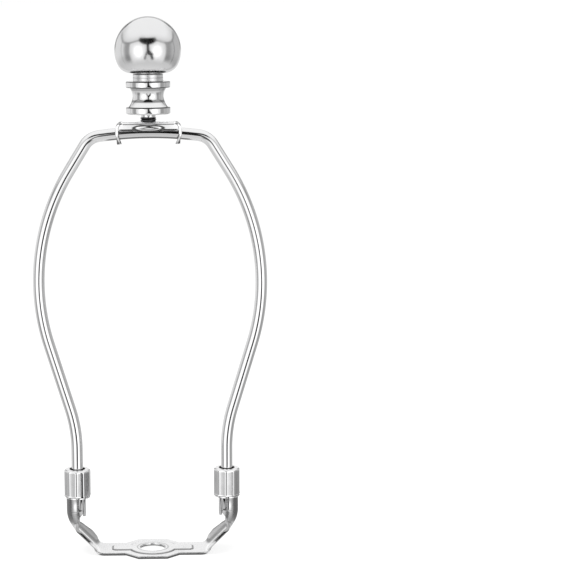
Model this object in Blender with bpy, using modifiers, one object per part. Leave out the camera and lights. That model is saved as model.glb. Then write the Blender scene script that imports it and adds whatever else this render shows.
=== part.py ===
"""Lamp harp with its saddle, sliding ferrules, top clip, stud and ball finial.

Frame: origin in the middle of the saddle's hole, on its underside. +X runs along the
saddle, +Y runs through the harp from front to back, +Z points up. Lengths are in metres.
"""

import math

import bmesh
import bpy
from mathutils import Matrix, Vector

MM = 0.001

# Fits shared by several pieces
REST_GAP = 0.3 * MM
BOOLEAN_OVERLAP = 0.2 * MM

# Wire, bent from one length of round steel
WIRE_RADIUS = 2.38 * MM
CROWN_HEIGHT = 172.6 * MM
CROWN_RADIUS = 151.0 * MM
CROWN_HALF_LENGTH = 20.0 * MM
CORNER_RADIUS = 8.0 * MM
SHOULDER_ANGLE = math.radians(58.2)
SHOULDER_LENGTH = 12.0 * MM
BOW_RADIUS = 0.5006 * CROWN_HEIGHT
FLANK_ANGLE = math.radians(106.9)
FLANK_LENGTH = 0.1616 * CROWN_HEIGHT
KNEE_RADIUS = 0.3302 * CROWN_HEIGHT
LEG_ANGLE = math.radians(90.0)
BEND_STEP = math.radians(4.0)
STRAIGHT_STEP = 4.0 * MM

# Pressed ends of the wire
LEG_CUT_HEIGHT = 18.6 * MM
WING_BOTTOM = 17.7 * MM
WING_TOP = 25.0 * MM
WING_OUTER = -0.4 * MM
WING_INNER = -2.3 * MM
WING_HALF_WIDTH = 3.6 * MM
TONGUE_BOTTOM = 15.4 * MM
TONGUE_TOP = 27.5 * MM
TONGUE_THICKNESS = 1.0 * MM
TONGUE_HALF_WIDTH = 2.7 * MM

# Saddle, stamped from one sheet
SHEET = 1.1 * MM
EAR_RADIUS = 4.6 * MM
EAR_TOP = 33.3 * MM
STEP_HEIGHT = 17.3 * MM
TROUGH_HALF_ANGLE = math.radians(92.0)
BOWL_LIP = 2.1 * MM
STRIP_HALF_WIDTH = 7.35 * MM
PLATE_HALF_WIDTH = 12.5 * MM
PLATE_FRONT_HALF = 5.8 * MM
PLATE_HALF_LENGTH = 10.9 * MM
ARM_ANGLE = math.radians(44.9)
FOOT_RADIUS = 6.1 * MM
ELBOW_RADIUS = 11.1 * MM
ELBOW_TOP = 17.6 * MM
PETAL_HEIGHT = 5.0 * MM
PETAL_HALF_WIDTH = 8.7 * MM
PETAL_TOP = 8.0 * MM
PETAL_TOP_HALF_WIDTH = 7.7 * MM
DISH_HEIGHT = 3.0 * MM
DISH_RADIUS = 25.0 * MM
CURL_START = 9.4 * MM
NECK_HEIGHT = 12.0 * MM
NECK_HALF_WIDTH = 5.2 * MM
HOLE_RADIUS = 5.35 * MM
PAD_RADIUS = 9.8 * MM
PAD_HEIGHT = 0.35 * MM
RIB_END_MARGIN = 3.1 * MM
RIB_HALF_WIDTH = 3.6 * MM
RIB_CORNER = 1.6 * MM

# Ferrules, turned and fluted
FERRULE_HEIGHT = 11.9 * MM
FERRULE_RADIUS = 5.45 * MM
FERRULE_TOE = 0.16 * MM
LIP_RADIUS = 5.12 * MM
LIP_HEIGHT = 0.7 * MM
SHOULDER_RADIUS = 0.95 * MM
FERRULE_TOP_WALL = 1.2 * MM
FERRULE_ROOM = 0.4 * MM
FERRULE_BOTTOM = EAR_TOP + FERRULE_ROOM + FERRULE_TOP_WALL - FERRULE_HEIGHT
FERRULE_EYE = 3.1 * MM
BORE_RADIUS = EAR_RADIUS + 0.25 * MM
FLUTES = 10
FLUTE_RADIUS = 1.9 * MM
FLUTE_DEPTH = 0.28 * MM

# Top clip, stamped from thinner sheet
CLIP_SHEET = 0.9 * MM
RIVET_ROOM = 1.02 * MM
CLIP_TOP = CROWN_HEIGHT + WIRE_RADIUS + RIVET_ROOM + CLIP_SHEET
CLIP_FIT = 0.3 * MM
CLIP_ARM_HALF = 11.7 * MM
CLIP_END_ROUND = 1.8 * MM
CLIP_BEND = 1.4 * MM
CLIP_SIDE = 2.8 * MM
CLIP_EDGE = CLIP_TOP - CLIP_SIDE
LOBE_HALF = 6.1 * MM
LOBE_DROP = 3.6 * MM
LOBE_BOTTOM = CLIP_TOP - LOBE_DROP
CLAW_DROP = 4.7 * MM
CLAW_TIP = CROWN_HEIGHT - CLAW_DROP
CLAW_OVERHANG = 1.6 * MM
CLAW_BULGE = CLIP_ARM_HALF + CLAW_OVERHANG
CLAW_BITE = 1.5 * MM
CLAW_ROOT = CLIP_ARM_HALF - CLAW_BITE
CLAW_HOOK = 1.7 * MM
CLAW_TIP_REACH = CLAW_BULGE - CLAW_HOOK
CLAW_SPREAD = 0.8 * MM
CLAW_TIP_FAR = 0.8 * MM
CLAW_TIP_NEAR = 0.3 * MM
CLAW_SHEET = 1.2 * MM
CLAW_RUN = 1.3 * MM
CLAW_EASE = 0.3 * MM
CLAW_ELBOW = 2.0 * MM
CLAW_ABOVE_WIRE = 0.8 * MM
CLAW_BELOW_WIRE = 1.8 * MM
CLAW_TUCK = 0.5 * MM
CLAW_HALF_DEPTH = 2.0 * MM
COLLAR_RADIUS = 5.2 * MM
COLLAR_HEIGHT = 0.7 * MM

# Stud that carries the shade and the finial
STUD_RADIUS = 3.175 * MM
STUD_LENGTH = 13.1 * MM
STUD_TOP = CLIP_TOP + STUD_LENGTH
TENON_RADIUS = 2.2 * MM
RIVET_RADIUS = 2.55 * MM
RIVET_HEIGHT = 0.7 * MM

# Finial
FINIAL_STANDOFF = 3.0 * MM
FINIAL_BOTTOM = CLIP_TOP + FINIAL_STANDOFF
FLANGE_RADIUS = 8.9 * MM
LOWER_FLANGE = 2.8 * MM
UPPER_FLANGE = 2.5 * MM
FINIAL_NECK_RADIUS = 6.0 * MM
WAIST_RADIUS = 6.2 * MM
WAIST_HEIGHT = 7.7 * MM
WAIST_UPPER_SHARE = 0.44
WAIST_UPPER_SWELL = 1.15 * MM
WAIST_LOWER_SWELL = 1.85 * MM
WAIST_TOP = FINIAL_BOTTOM + LOWER_FLANGE + WAIST_HEIGHT
FINIAL_NECK_HEIGHT = 2.9 * MM
BALL_SEAT = WAIST_TOP + UPPER_FLANGE + FINIAL_NECK_HEIGHT
BALL_RADIUS = 13.3 * MM
BALL_CENTRE = BALL_SEAT + 0.7143 * BALL_RADIUS
BALL_FOOT_ROUND = 6.0 * MM
SPIGOT_RADIUS = 3.4 * MM
SPIGOT_HEIGHT = 5.0 * MM
THREAD_BORE = STUD_RADIUS + REST_GAP
THREAD_DEPTH = STUD_TOP - FINIAL_BOTTOM + 3.0 * REST_GAP

ROUND_STEPS = 36
FINE_STEPS = 64
SHEET_COLUMNS = 12


def clear_scene():
    """Remove every object of the startup scene."""
    for item in list(bpy.data.objects):
        bpy.data.objects.remove(item, do_unlink=True)


def make_collection(name, hidden):
    group = bpy.data.collections.new(name)
    bpy.context.scene.collection.children.link(group)
    group.hide_render = hidden
    return group


def make_material(name, colour, roughness, metallic):
    material = bpy.data.materials.new(name)
    material.use_nodes = True
    shader = material.node_tree.nodes["Principled BSDF"]
    shader.inputs["Base Color"].default_value = (*colour, 1.0)
    shader.inputs["Roughness"].default_value = roughness
    shader.inputs["Metallic"].default_value = metallic
    return material


def place(item, group, material=None):
    """Link an object to its collection and give it its material."""
    group.objects.link(item)
    if material is not None:
        item.data.materials.clear()
        item.data.materials.append(material)
    return item


def hide_tool(item):
    item.hide_render = True
    item.display_type = "WIRE"
    return item


def evaluated_mesh(item, group, material, name):
    """Replace a curve or modified object by the plain mesh that it evaluates to."""
    bpy.context.view_layer.update()
    graph = bpy.context.evaluated_depsgraph_get()
    mesh = bpy.data.meshes.new_from_object(item.evaluated_get(graph))
    matrix = item.matrix_world.copy()
    bpy.data.objects.remove(item, do_unlink=True)
    work = bmesh.new()
    work.from_mesh(mesh)
    bmesh.ops.remove_doubles(work, verts=work.verts, dist=1e-7)
    bmesh.ops.recalc_face_normals(work, faces=work.faces)
    work.to_mesh(mesh)
    work.free()
    mesh.name = name
    solid = bpy.data.objects.new(name, mesh)
    solid.matrix_world = matrix
    return place(solid, group, material)


def smooth(item, angle=math.radians(35.0)):
    """Shade smooth, keeping edges sharper than the angle."""
    mesh = item.data
    mesh.polygons.foreach_set("use_smooth", [True] * len(mesh.polygons))
    mesh.set_sharp_from_angle(angle=angle)
    return item


def boolean(target, tool, operation):
    """Add an exact Boolean modifier."""
    modifier = target.modifiers.new(f"{operation.title()} {tool.name}", "BOOLEAN")
    modifier.operation = operation
    modifier.solver = "EXACT"
    modifier.object = tool
    return modifier


def turned(name, profile, group, material, steps=ROUND_STEPS, centre=(0.0, 0.0)):
    """Revolve a profile of (radius, height) points, top first, about a vertical axis."""
    mesh = bpy.data.meshes.new(name)
    points = [(radius, 0.0, height) for radius, height in profile]
    last = len(points) - 1
    edges = [(i, i + 1) for i in range(last)]
    if profile[0][0] > 0.0:
        edges.append((last, 0))
    mesh.from_pydata(points, edges, [])
    item = bpy.data.objects.new(name, mesh)
    item.location = (centre[0], centre[1], 0.0)
    place(item, group, material)
    screw = item.modifiers.new("Revolve", "SCREW")
    screw.axis = "Z"
    screw.angle = 2.0 * math.pi
    screw.steps = steps
    screw.render_steps = steps
    screw.use_merge_vertices = True
    screw.merge_threshold = 1e-6
    screw.use_smooth_shade = True
    return item


def extruded(name, outline, half_depth, plane, group, material=None):
    """A flat outline given in plane XZ, YZ or XY, extruded both ways by half_depth."""
    turn = Matrix.Identity(4)
    if plane == "XZ":
        turn = Matrix(((1, 0, 0, 0), (0, 0, -1, 0), (0, 1, 0, 0), (0, 0, 0, 1)))
    elif plane == "YZ":
        turn = Matrix(((0, 0, 1, 0), (1, 0, 0, 0), (0, 1, 0, 0), (0, 0, 0, 1)))
    work = bmesh.new()
    verts = [work.verts.new((a, b, -half_depth)) for a, b in outline]
    face = work.faces.new(verts)
    grown = bmesh.ops.extrude_face_region(work, geom=[face])
    moved = [part for part in grown["geom"] if isinstance(part, bmesh.types.BMVert)]
    bmesh.ops.translate(work, vec=(0.0, 0.0, 2.0 * half_depth), verts=moved)
    bmesh.ops.recalc_face_normals(work, faces=work.faces)
    bmesh.ops.transform(work, matrix=turn, verts=work.verts)
    mesh = bpy.data.meshes.new(name)
    work.to_mesh(mesh)
    work.free()
    item = bpy.data.objects.new(name, mesh)
    return place(item, group, material)


def cylinder(name, radius, bottom, top, group, centre=(0.0, 0.0), steps=ROUND_STEPS):
    """A closed vertical cylinder, used as a cutter."""
    work = bmesh.new()
    bmesh.ops.create_cone(
        work,
        cap_ends=True,
        segments=steps,
        radius1=radius,
        radius2=radius,
        depth=top - bottom,
        matrix=Matrix.Translation((centre[0], centre[1], 0.5 * (top + bottom))),
    )
    mesh = bpy.data.meshes.new(name)
    work.to_mesh(mesh)
    work.free()
    item = bpy.data.objects.new(name, mesh)
    group.objects.link(item)
    return item


def block(name, low, high, group, bevel=0.0):
    """An upright box between two corners, its edges optionally rounded."""
    size = Vector(high) - Vector(low)
    middle = 0.5 * (Vector(high) + Vector(low))
    work = bmesh.new()
    bmesh.ops.create_cube(work, size=1.0)
    bmesh.ops.scale(work, vec=size, verts=work.verts)
    bmesh.ops.translate(work, vec=middle, verts=work.verts)
    if bevel > 0.0:
        bmesh.ops.bevel(
            work, geom=work.edges[:], offset=bevel, segments=2, profile=0.5, affect="EDGES"
        )
    mesh = bpy.data.meshes.new(name)
    work.to_mesh(mesh)
    work.free()
    item = bpy.data.objects.new(name, mesh)
    group.objects.link(item)
    return item


def arc_points(centre, radius, start, end, count):
    """Points of an arc in its plane, from angle start to angle end."""
    points = []
    for i in range(count + 1):
        angle = start + (end - start) * i / count
        x = centre[0] + radius * math.cos(angle)
        y = centre[1] + radius * math.sin(angle)
        points.append((x, y))
    return points


def blend(low, high, value):
    """Smooth step from 0 at low to 1 at high."""
    t = min(1.0, max(0.0, (value - low) / (high - low)))
    return t * t * (3.0 - 2.0 * t)


class Bender:
    """Follows a wire as it's bent: a pen with a place and a heading in the XZ plane."""

    def __init__(self, x, z, heading):
        self.x = x
        self.z = z
        self.heading = heading
        self.points = [(x, z)]

    def straight(self, length):
        count = max(1, round(length / STRAIGHT_STEP))
        for _ in range(count):
            self.x += length / count * math.cos(self.heading)
            self.z += length / count * math.sin(self.heading)
            self.points.append((self.x, self.z))

    def bend_to(self, heading, radius):
        turn = heading - self.heading
        count = max(3, round(abs(turn) / BEND_STEP))
        chord = 2.0 * radius * math.sin(abs(turn) / count / 2.0)
        for _ in range(count):
            middle = self.heading + turn / count / 2.0
            self.x += chord * math.cos(middle)
            self.z += chord * math.sin(middle)
            self.heading += turn / count
            self.points.append((self.x, self.z))


def wire_half():
    """Centreline of the right half of the wire, from the crown down to the leg's cut."""
    pen = Bender(0.0, CROWN_HEIGHT, 0.0)
    pen.bend_to(-CROWN_HALF_LENGTH / CROWN_RADIUS, CROWN_RADIUS)
    pen.bend_to(-SHOULDER_ANGLE, CORNER_RADIUS)
    pen.straight(SHOULDER_LENGTH)
    pen.bend_to(-FLANK_ANGLE, BOW_RADIUS)
    pen.straight(FLANK_LENGTH)
    pen.bend_to(-LEG_ANGLE, KNEE_RADIUS)
    pen.straight(pen.z - LEG_CUT_HEIGHT)
    return pen.points


def build_wire(group, tools, material):
    """The wire: a swept bar whose two ends are pressed into wings and a tongue."""
    half = wire_half()
    points = [(-x, z) for x, z in reversed(half)] + half[1:]
    curve = bpy.data.curves.new("harp_wire", "CURVE")
    curve.dimensions = "3D"
    curve.bevel_depth = WIRE_RADIUS
    curve.bevel_resolution = 6
    curve.use_fill_caps = True
    spline = curve.splines.new("POLY")
    spline.points.add(len(points) - 1)
    for point, (x, z) in zip(spline.points, points):
        point.co = (x, 0.0, z, 1.0)
    item = bpy.data.objects.new("harp_wire", curve)
    group.objects.link(item)
    wire = evaluated_mesh(item, group, material, "harp_wire")
    smooth(wire)
    leg = half[-1][0]
    for side, label in ((1.0, "right"), (-1.0, "left")):
        wing_ends = sorted((side * (leg + WING_OUTER), side * (leg + WING_INNER)))
        wing = block(
            f"tool_wing_{label}",
            (wing_ends[0], -WING_HALF_WIDTH, WING_BOTTOM),
            (wing_ends[1], WING_HALF_WIDTH, WING_TOP),
            tools,
            bevel=0.3 * MM,
        )
        tongue_start = leg + WING_INNER + BOOLEAN_OVERLAP
        tongue_end = leg + WING_INNER - TONGUE_THICKNESS
        tongue_ends = sorted((side * tongue_start, side * tongue_end))
        tongue = block(
            f"tool_tongue_{label}",
            (tongue_ends[0], -TONGUE_HALF_WIDTH, TONGUE_BOTTOM),
            (tongue_ends[1], TONGUE_HALF_WIDTH, TONGUE_TOP),
            tools,
            bevel=0.25 * MM,
        )
        boolean(wire, hide_tool(wing), "UNION")
        boolean(wire, hide_tool(tongue), "UNION")
    return wire


class SaddleSheet:
    """Maps the saddle's flat blank to its bent and curled form, on the right side."""

    def __init__(self):
        self.middle = 0.5 * SHEET
        self.curl_radius = EAR_RADIUS - self.middle
        self.post_x = wire_half()[-1][0] + self.curl_radius
        turn = 0.5 * math.pi - ARM_ANGLE
        self.elbow_x = self.post_x - ELBOW_RADIUS * (1.0 - math.sin(ARM_ANGLE))
        self.elbow_z = ELBOW_TOP - ELBOW_RADIUS * math.cos(ARM_ANGLE)
        foot_half = FOOT_RADIUS * math.tan(0.5 * ARM_ANGLE)
        run = (self.elbow_z - self.middle) / math.tan(ARM_ANGLE)
        self.flat = self.elbow_x - run - foot_half
        self.foot = FOOT_RADIUS * ARM_ANGLE
        self.slope = (self.elbow_z - self.middle) / math.sin(ARM_ANGLE) - foot_half
        self.elbow = ELBOW_RADIUS * turn
        self.post = EAR_TOP - ELBOW_TOP
        self.length = self.flat + self.foot + self.slope + self.elbow + self.post
        step_turn = math.asin((ELBOW_TOP - STEP_HEIGHT) / ELBOW_RADIUS)
        self.step = self.length - self.post - ELBOW_RADIUS * step_turn

    def spine(self, s):
        """Place and heading of the sheet's middle line at blank length s."""
        if s <= self.flat:
            return s, self.middle, 0.0
        s -= self.flat
        if s <= self.foot:
            angle = s / FOOT_RADIUS
            x = self.flat + FOOT_RADIUS * math.sin(angle)
            return x, self.middle + FOOT_RADIUS * (1.0 - math.cos(angle)), angle
        s -= self.foot
        if s <= self.slope:
            left = self.slope - s
            x = self.elbow_x - left * math.cos(ARM_ANGLE)
            return x, self.elbow_z - left * math.sin(ARM_ANGLE), ARM_ANGLE
        s -= self.slope
        if s <= self.elbow:
            angle = ARM_ANGLE + s / ELBOW_RADIUS
            x = self.elbow_x + ELBOW_RADIUS * (math.sin(angle) - math.sin(ARM_ANGLE))
            z = self.elbow_z + ELBOW_RADIUS * (math.cos(ARM_ANGLE) - math.cos(angle))
            return x, z, angle
        s -= self.elbow
        return self.post_x, ELBOW_TOP + s, 0.5 * math.pi

    def half_width(self, s):
        """Half width of the blank at length s."""
        z = self.spine(s)[1]
        if s <= PLATE_FRONT_HALF:
            return PLATE_HALF_WIDTH
        if s <= PLATE_HALF_LENGTH:
            t = (s - PLATE_FRONT_HALF) / (PLATE_HALF_LENGTH - PLATE_FRONT_HALF)
            return PLATE_HALF_WIDTH + (STRIP_HALF_WIDTH - PLATE_HALF_WIDTH) * t
        trough = self.curl_radius * TROUGH_HALF_ANGLE
        if s > self.step:
            return trough
        lip_angle = math.pi - math.acos(BOWL_LIP / self.curl_radius)
        bowl = self.curl_radius * lip_angle
        if z > NECK_HEIGHT:
            t = min(1.0, (z - NECK_HEIGHT) / (STEP_HEIGHT - NECK_HEIGHT))
            swell = math.sin(0.5 * math.pi * t)
            return NECK_HALF_WIDTH + (bowl - NECK_HALF_WIDTH) * swell
        if z > PETAL_TOP:
            t = blend(PETAL_TOP, NECK_HEIGHT, z)
            return PETAL_TOP_HALF_WIDTH + (NECK_HALF_WIDTH - PETAL_TOP_HALF_WIDTH) * t
        if z > PETAL_HEIGHT:
            t = (z - PETAL_HEIGHT) / (PETAL_TOP - PETAL_HEIGHT)
            return PETAL_HALF_WIDTH + (PETAL_TOP_HALF_WIDTH - PETAL_HALF_WIDTH) * t
        t = blend(self.middle, PETAL_HEIGHT, z)
        return STRIP_HALF_WIDTH + (PETAL_HALF_WIDTH - STRIP_HALF_WIDTH) * t

    def curvature(self, s):
        """Curl across the sheet: a shallow dish on the arm, that of the ear from the neck on."""
        z = self.spine(s)[1]
        dish = blend(self.middle, DISH_HEIGHT, z) / DISH_RADIUS
        return dish + (1.0 / self.curl_radius - dish) * blend(CURL_START, NECK_HEIGHT, z)

    def place(self, s, across):
        """Point of the middle surface at blank length s and across in -1 to 1."""
        x, z, heading = self.spine(s)
        width = across * self.half_width(s)
        curl = self.curvature(s)
        if curl * self.curl_radius < 1e-4:
            side, rise = width, 0.0
        else:
            side = math.sin(width * curl) / curl
            rise = (1.0 - math.cos(width * curl)) / curl
        x -= rise * math.sin(heading)
        z += rise * math.cos(heading)
        return x, side, z

    def stations(self):
        """Blank lengths at which the sheet is sampled."""
        marks = [0.0, PLATE_FRONT_HALF, PLATE_HALF_LENGTH, self.flat]
        before_step = self.step - (self.length - self.post - self.elbow)
        spans = ((self.foot, 5), (self.slope, 5), (before_step, 14))
        for span, count in spans:
            start = marks[-1]
            marks.extend(start + span * (i + 1) / count for i in range(count))
        marks.append(self.step + 0.05 * MM)
        marks.append(self.length - self.post)
        marks.append(self.length - 0.4 * self.post)
        marks.append(self.length)
        return marks


def build_saddle(group, tools, material):
    """The saddle: one sheet with its centre plate, arms and curled ears."""
    sheet = SaddleSheet()
    stations = sheet.stations()
    work = bmesh.new()
    bmesh.ops.create_grid(
        work, x_segments=len(stations) - 1, y_segments=SHEET_COLUMNS, size=1.0
    )
    for vert in work.verts:
        column = round((vert.co.x + 1.0) * 0.5 * (len(stations) - 1))
        vert.co = sheet.place(stations[column], vert.co.y)
    mesh = bpy.data.meshes.new("harp_saddle")
    work.to_mesh(mesh)
    work.free()
    item = bpy.data.objects.new("harp_saddle", mesh)
    place(item, group, material)
    mirror = item.modifiers.new("Mirror", "MIRROR")
    mirror.merge_threshold = 1e-6
    solidify = item.modifiers.new("Thickness", "SOLIDIFY")
    solidify.thickness = SHEET
    solidify.offset = 0.0
    solidify.use_even_offset = True
    saddle = evaluated_mesh(item, group, material, "harp_saddle")
    smooth(saddle)

    pad = pad_outline(sheet.flat - RIB_END_MARGIN)
    raised = extruded("tool_pad", pad, 0.5 * (PAD_HEIGHT + BOOLEAN_OVERLAP), "XY", tools)
    raised.location.z = SHEET + 0.5 * (PAD_HEIGHT - BOOLEAN_OVERLAP)
    boolean(saddle, hide_tool(raised), "UNION")
    hole = cylinder("cut_hole", HOLE_RADIUS, -SHEET, 3.0 * SHEET, tools, steps=FINE_STEPS)
    boolean(saddle, hide_tool(hole), "DIFFERENCE")
    return saddle


def pad_outline(reach):
    """Outline of the raised pad: a disc with a blunt rib each way along X."""
    join = math.asin(RIB_HALF_WIDTH / PAD_RADIUS)
    end = reach - RIB_CORNER
    side = RIB_HALF_WIDTH - RIB_CORNER
    half_turn = math.pi
    quarter = 0.5 * math.pi
    loop = arc_points((end, -side), RIB_CORNER, -quarter, 0.0, 5)
    loop += arc_points((end, side), RIB_CORNER, 0.0, quarter, 5)
    loop += arc_points((0.0, 0.0), PAD_RADIUS, join, half_turn - join, 24)
    loop += arc_points((-end, side), RIB_CORNER, quarter, half_turn, 5)
    loop += arc_points((-end, -side), RIB_CORNER, half_turn, half_turn + quarter, 5)
    loop += arc_points((0.0, 0.0), PAD_RADIUS, half_turn + join, 2.0 * half_turn - join, 24)
    return loop


def ferrule_profile():
    """Outer and inner profile of a ferrule, top first, down the outside and up the bore."""
    bottom = FERRULE_BOTTOM
    top = bottom + FERRULE_HEIGHT
    shoulder = (FERRULE_RADIUS - SHOULDER_RADIUS, top - SHOULDER_RADIUS)
    outer = [(FERRULE_EYE, top)]
    outer += arc_points(shoulder, SHOULDER_RADIUS, 0.5 * math.pi, 0.0, 6)
    toe = bottom + LIP_HEIGHT
    outer.append((FERRULE_RADIUS, toe + 4.0 * FERRULE_TOE))
    outer.append((FERRULE_RADIUS + FERRULE_TOE, toe + FERRULE_TOE))
    outer.append((FERRULE_RADIUS + FERRULE_TOE, toe))
    outer.append((LIP_RADIUS, toe))
    outer.append((LIP_RADIUS, bottom + 0.2 * MM))
    outer.append((LIP_RADIUS - 0.15 * MM, bottom))
    outer.append((BORE_RADIUS, bottom))
    outer.append((BORE_RADIUS, top - FERRULE_TOP_WALL))
    outer.append((FERRULE_EYE, top - FERRULE_TOP_WALL))
    return outer


def build_ferrule(name, side, leg, group, tools, material):
    """A fluted ferrule on one leg of the wire."""
    ferrule = turned(name, ferrule_profile(), group, material, centre=(side * leg, 0.0))
    away = FERRULE_RADIUS + FLUTE_RADIUS - FLUTE_DEPTH
    low = FERRULE_BOTTOM + LIP_HEIGHT - FERRULE_TOE
    high = FERRULE_BOTTOM + FERRULE_HEIGHT + FLUTE_RADIUS
    for i in range(FLUTES):
        angle = 2.0 * math.pi * (i + 0.5) / FLUTES
        x = side * leg + away * math.cos(angle)
        y = away * math.sin(angle)
        cutter = cylinder(f"cut_{name}_{i}", FLUTE_RADIUS, low, high, tools, (x, y), 20)
        boolean(ferrule, hide_tool(cutter), "DIFFERENCE")
    return ferrule


def band_outline(path, thickness):
    """Closed outline of a band of even thickness along a path."""
    left = []
    right = []
    for i, point in enumerate(path):
        before = Vector(path[max(0, i - 1)])
        after = Vector(path[min(len(path) - 1, i + 1)])
        along = (after - before).normalized()
        normal = Vector((-along.y, along.x)) * 0.5 * thickness
        middle = Vector(point)
        left.append(tuple(middle + normal))
        right.append(tuple(middle - normal))
    return left + right[::-1]


def smooth_path(points, per_span):
    """Catmull-Rom curve through points."""
    knots = [Vector(point) for point in points]
    knots = [2.0 * knots[0] - knots[1], *knots, 2.0 * knots[-1] - knots[-2]]
    path = []
    for i in range(1, len(knots) - 2):
        a, b, c, d = knots[i - 1 : i + 3]
        for step in range(per_span):
            t = step / per_span
            point = 2.0 * b + (c - a) * t
            point += (2.0 * a - 5.0 * b + 4.0 * c - d) * t * t
            point += (3.0 * b - a - 3.0 * c + d) * t**3
            path.append(tuple(0.5 * point))
    path.append(tuple(knots[-2]))
    return path


def channel_section():
    """Cross-section of the clip's channel in the YZ plane."""
    inner = WIRE_RADIUS + CLIP_FIT
    outer = inner + CLIP_SHEET
    low = LOBE_BOTTOM - CLIP_SHEET
    corner = (outer - CLIP_BEND, CLIP_TOP - CLIP_BEND)
    loop = [(outer, low)]
    loop += arc_points(corner, CLIP_BEND, 0.0, 0.5 * math.pi, 5)
    loop += [(-y, z) for y, z in reversed(loop)]
    back = [(inner, low)]
    back += arc_points(corner, CLIP_BEND - CLIP_SHEET, 0.0, 0.5 * math.pi, 3)
    back += [(-y, z) for y, z in reversed(back)]
    return loop + back[::-1]


def clip_side_outline():
    """Side view of the channel: straight arm edges and a round lobe in the middle."""
    depth = LOBE_BOTTOM - CLIP_EDGE
    corner = (CLIP_ARM_HALF - CLIP_END_ROUND, CLIP_TOP - CLIP_END_ROUND)
    loop = [(-x, z) for x, z in arc_points(corner, CLIP_END_ROUND, 0.0, 0.5 * math.pi, 5)]
    loop += [(-x, z) for x, z in reversed(loop)]
    loop.append((CLIP_ARM_HALF, CLIP_EDGE))
    count = 14
    for i in range(count + 1):
        angle = math.pi * i / count
        x = LOBE_HALF * math.cos(angle)
        loop.append((x, CLIP_EDGE + depth * math.sin(angle)))
    loop.append((-CLIP_ARM_HALF, CLIP_EDGE))
    return loop


def horseshoe_outline(centre_z):
    """End view of a claw pair: two prongs that pass the wire and close in under it."""
    inner = WIRE_RADIUS + CLIP_FIT
    outer = inner + CLIP_SHEET
    top = CLIP_TOP + CLIP_SHEET
    turn_in = math.radians(24.0) - 0.5 * math.pi
    right = [(outer, top), (outer, centre_z)]
    right += arc_points((0.0, centre_z), outer, 0.0, turn_in, 8)[1:]
    right.append((CLAW_TIP_FAR, CLAW_TIP))
    right.append((CLAW_TIP_NEAR, CLAW_TIP + CLAW_TIP_NEAR + BOOLEAN_OVERLAP))
    right += arc_points((0.0, centre_z), inner, turn_in, 0.0, 8)
    right.append((inner, CLIP_TOP - CLIP_SHEET))
    return right


def build_clip(group, tools, material):
    """The top clip: an inverted channel whose forked ends grip the wire."""
    clip = extruded("top_clip", channel_section(), CLAW_BULGE, "YZ", group, material)
    side = extruded("tool_clip_side", clip_side_outline(), 3.0 * WIRE_RADIUS, "XZ", tools)
    boolean(clip, hide_tool(side), "INTERSECT")
    half_sheet = 0.5 * CLAW_SHEET
    wire_z = CROWN_HEIGHT - CLAW_BULGE**2 / (2.0 * CROWN_RADIUS)
    for direction, label in ((1.0, "right"), (-1.0, "left")):
        for depth, face in ((-1.0, "front"), (1.0, "back")):
            spread = 0.5 * CLAW_SPREAD * depth * direction
            knots = [
                (CLAW_ROOT, CLIP_TOP - half_sheet),
                (CLAW_ROOT + CLAW_RUN, CLIP_TOP - half_sheet - CLAW_EASE),
                (CLAW_BULGE - half_sheet - CLAW_EASE, CLIP_TOP - CLAW_ELBOW),
                (CLAW_BULGE - half_sheet, wire_z + CLAW_ABOVE_WIRE),
                (CLAW_BULGE - half_sheet - CLAW_TUCK, wire_z - CLAW_BELOW_WIRE),
                (CLAW_TIP_REACH + spread, CLAW_TIP - CLAW_TUCK),
            ]
            path = [(direction * x, z) for x, z in smooth_path(knots, 4)]
            outline = band_outline(path, CLAW_SHEET)
            claw = extruded(f"tool_claw_{label}_{face}", outline, CLAW_HALF_DEPTH, "XZ", tools)
            claw.location.y = depth * CLAW_HALF_DEPTH
            prong = [(depth * y, z) for y, z in horseshoe_outline(wire_z)]
            trim = extruded(f"tool_prong_{label}_{face}", prong, 2.0 * CLAW_BULGE, "YZ", tools)
            boolean(claw, hide_tool(trim), "INTERSECT")
            boolean(clip, hide_tool(claw), "UNION")
    collar = turned("tool_collar", collar_profile(), tools, None)
    boolean(clip, hide_tool(collar), "UNION")
    hole = cylinder(
        "cut_tenon", TENON_RADIUS + REST_GAP, LOBE_BOTTOM, FINIAL_BOTTOM, tools, steps=32
    )
    boolean(clip, hide_tool(hole), "DIFFERENCE")
    return clip


def collar_profile():
    """Raised collar pressed up round the stud's foot."""
    return [
        (0.0, CLIP_TOP + COLLAR_HEIGHT),
        (STUD_RADIUS + REST_GAP, CLIP_TOP + COLLAR_HEIGHT),
        (COLLAR_RADIUS - 0.5 * MM, CLIP_TOP + 0.3 * COLLAR_HEIGHT),
        (COLLAR_RADIUS, CLIP_TOP - BOOLEAN_OVERLAP),
        (0.0, CLIP_TOP - BOOLEAN_OVERLAP),
    ]


def stud_profile():
    """The stud: threaded shank, tenon through the clip and riveted head below it."""
    foot = CLIP_TOP + COLLAR_HEIGHT + REST_GAP
    under = CLIP_TOP - CLIP_SHEET - REST_GAP
    chamfer = 0.5 * MM
    return [
        (0.0, STUD_TOP),
        (STUD_RADIUS - chamfer, STUD_TOP),
        (STUD_RADIUS, STUD_TOP - chamfer),
        (STUD_RADIUS, foot),
        (TENON_RADIUS, foot),
        (TENON_RADIUS, under),
        (RIVET_RADIUS, under),
        (RIVET_RADIUS, under - 0.6 * RIVET_HEIGHT),
        (RIVET_RADIUS - 0.5 * MM, under - RIVET_HEIGHT),
        (0.0, under - RIVET_HEIGHT),
    ]


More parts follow.
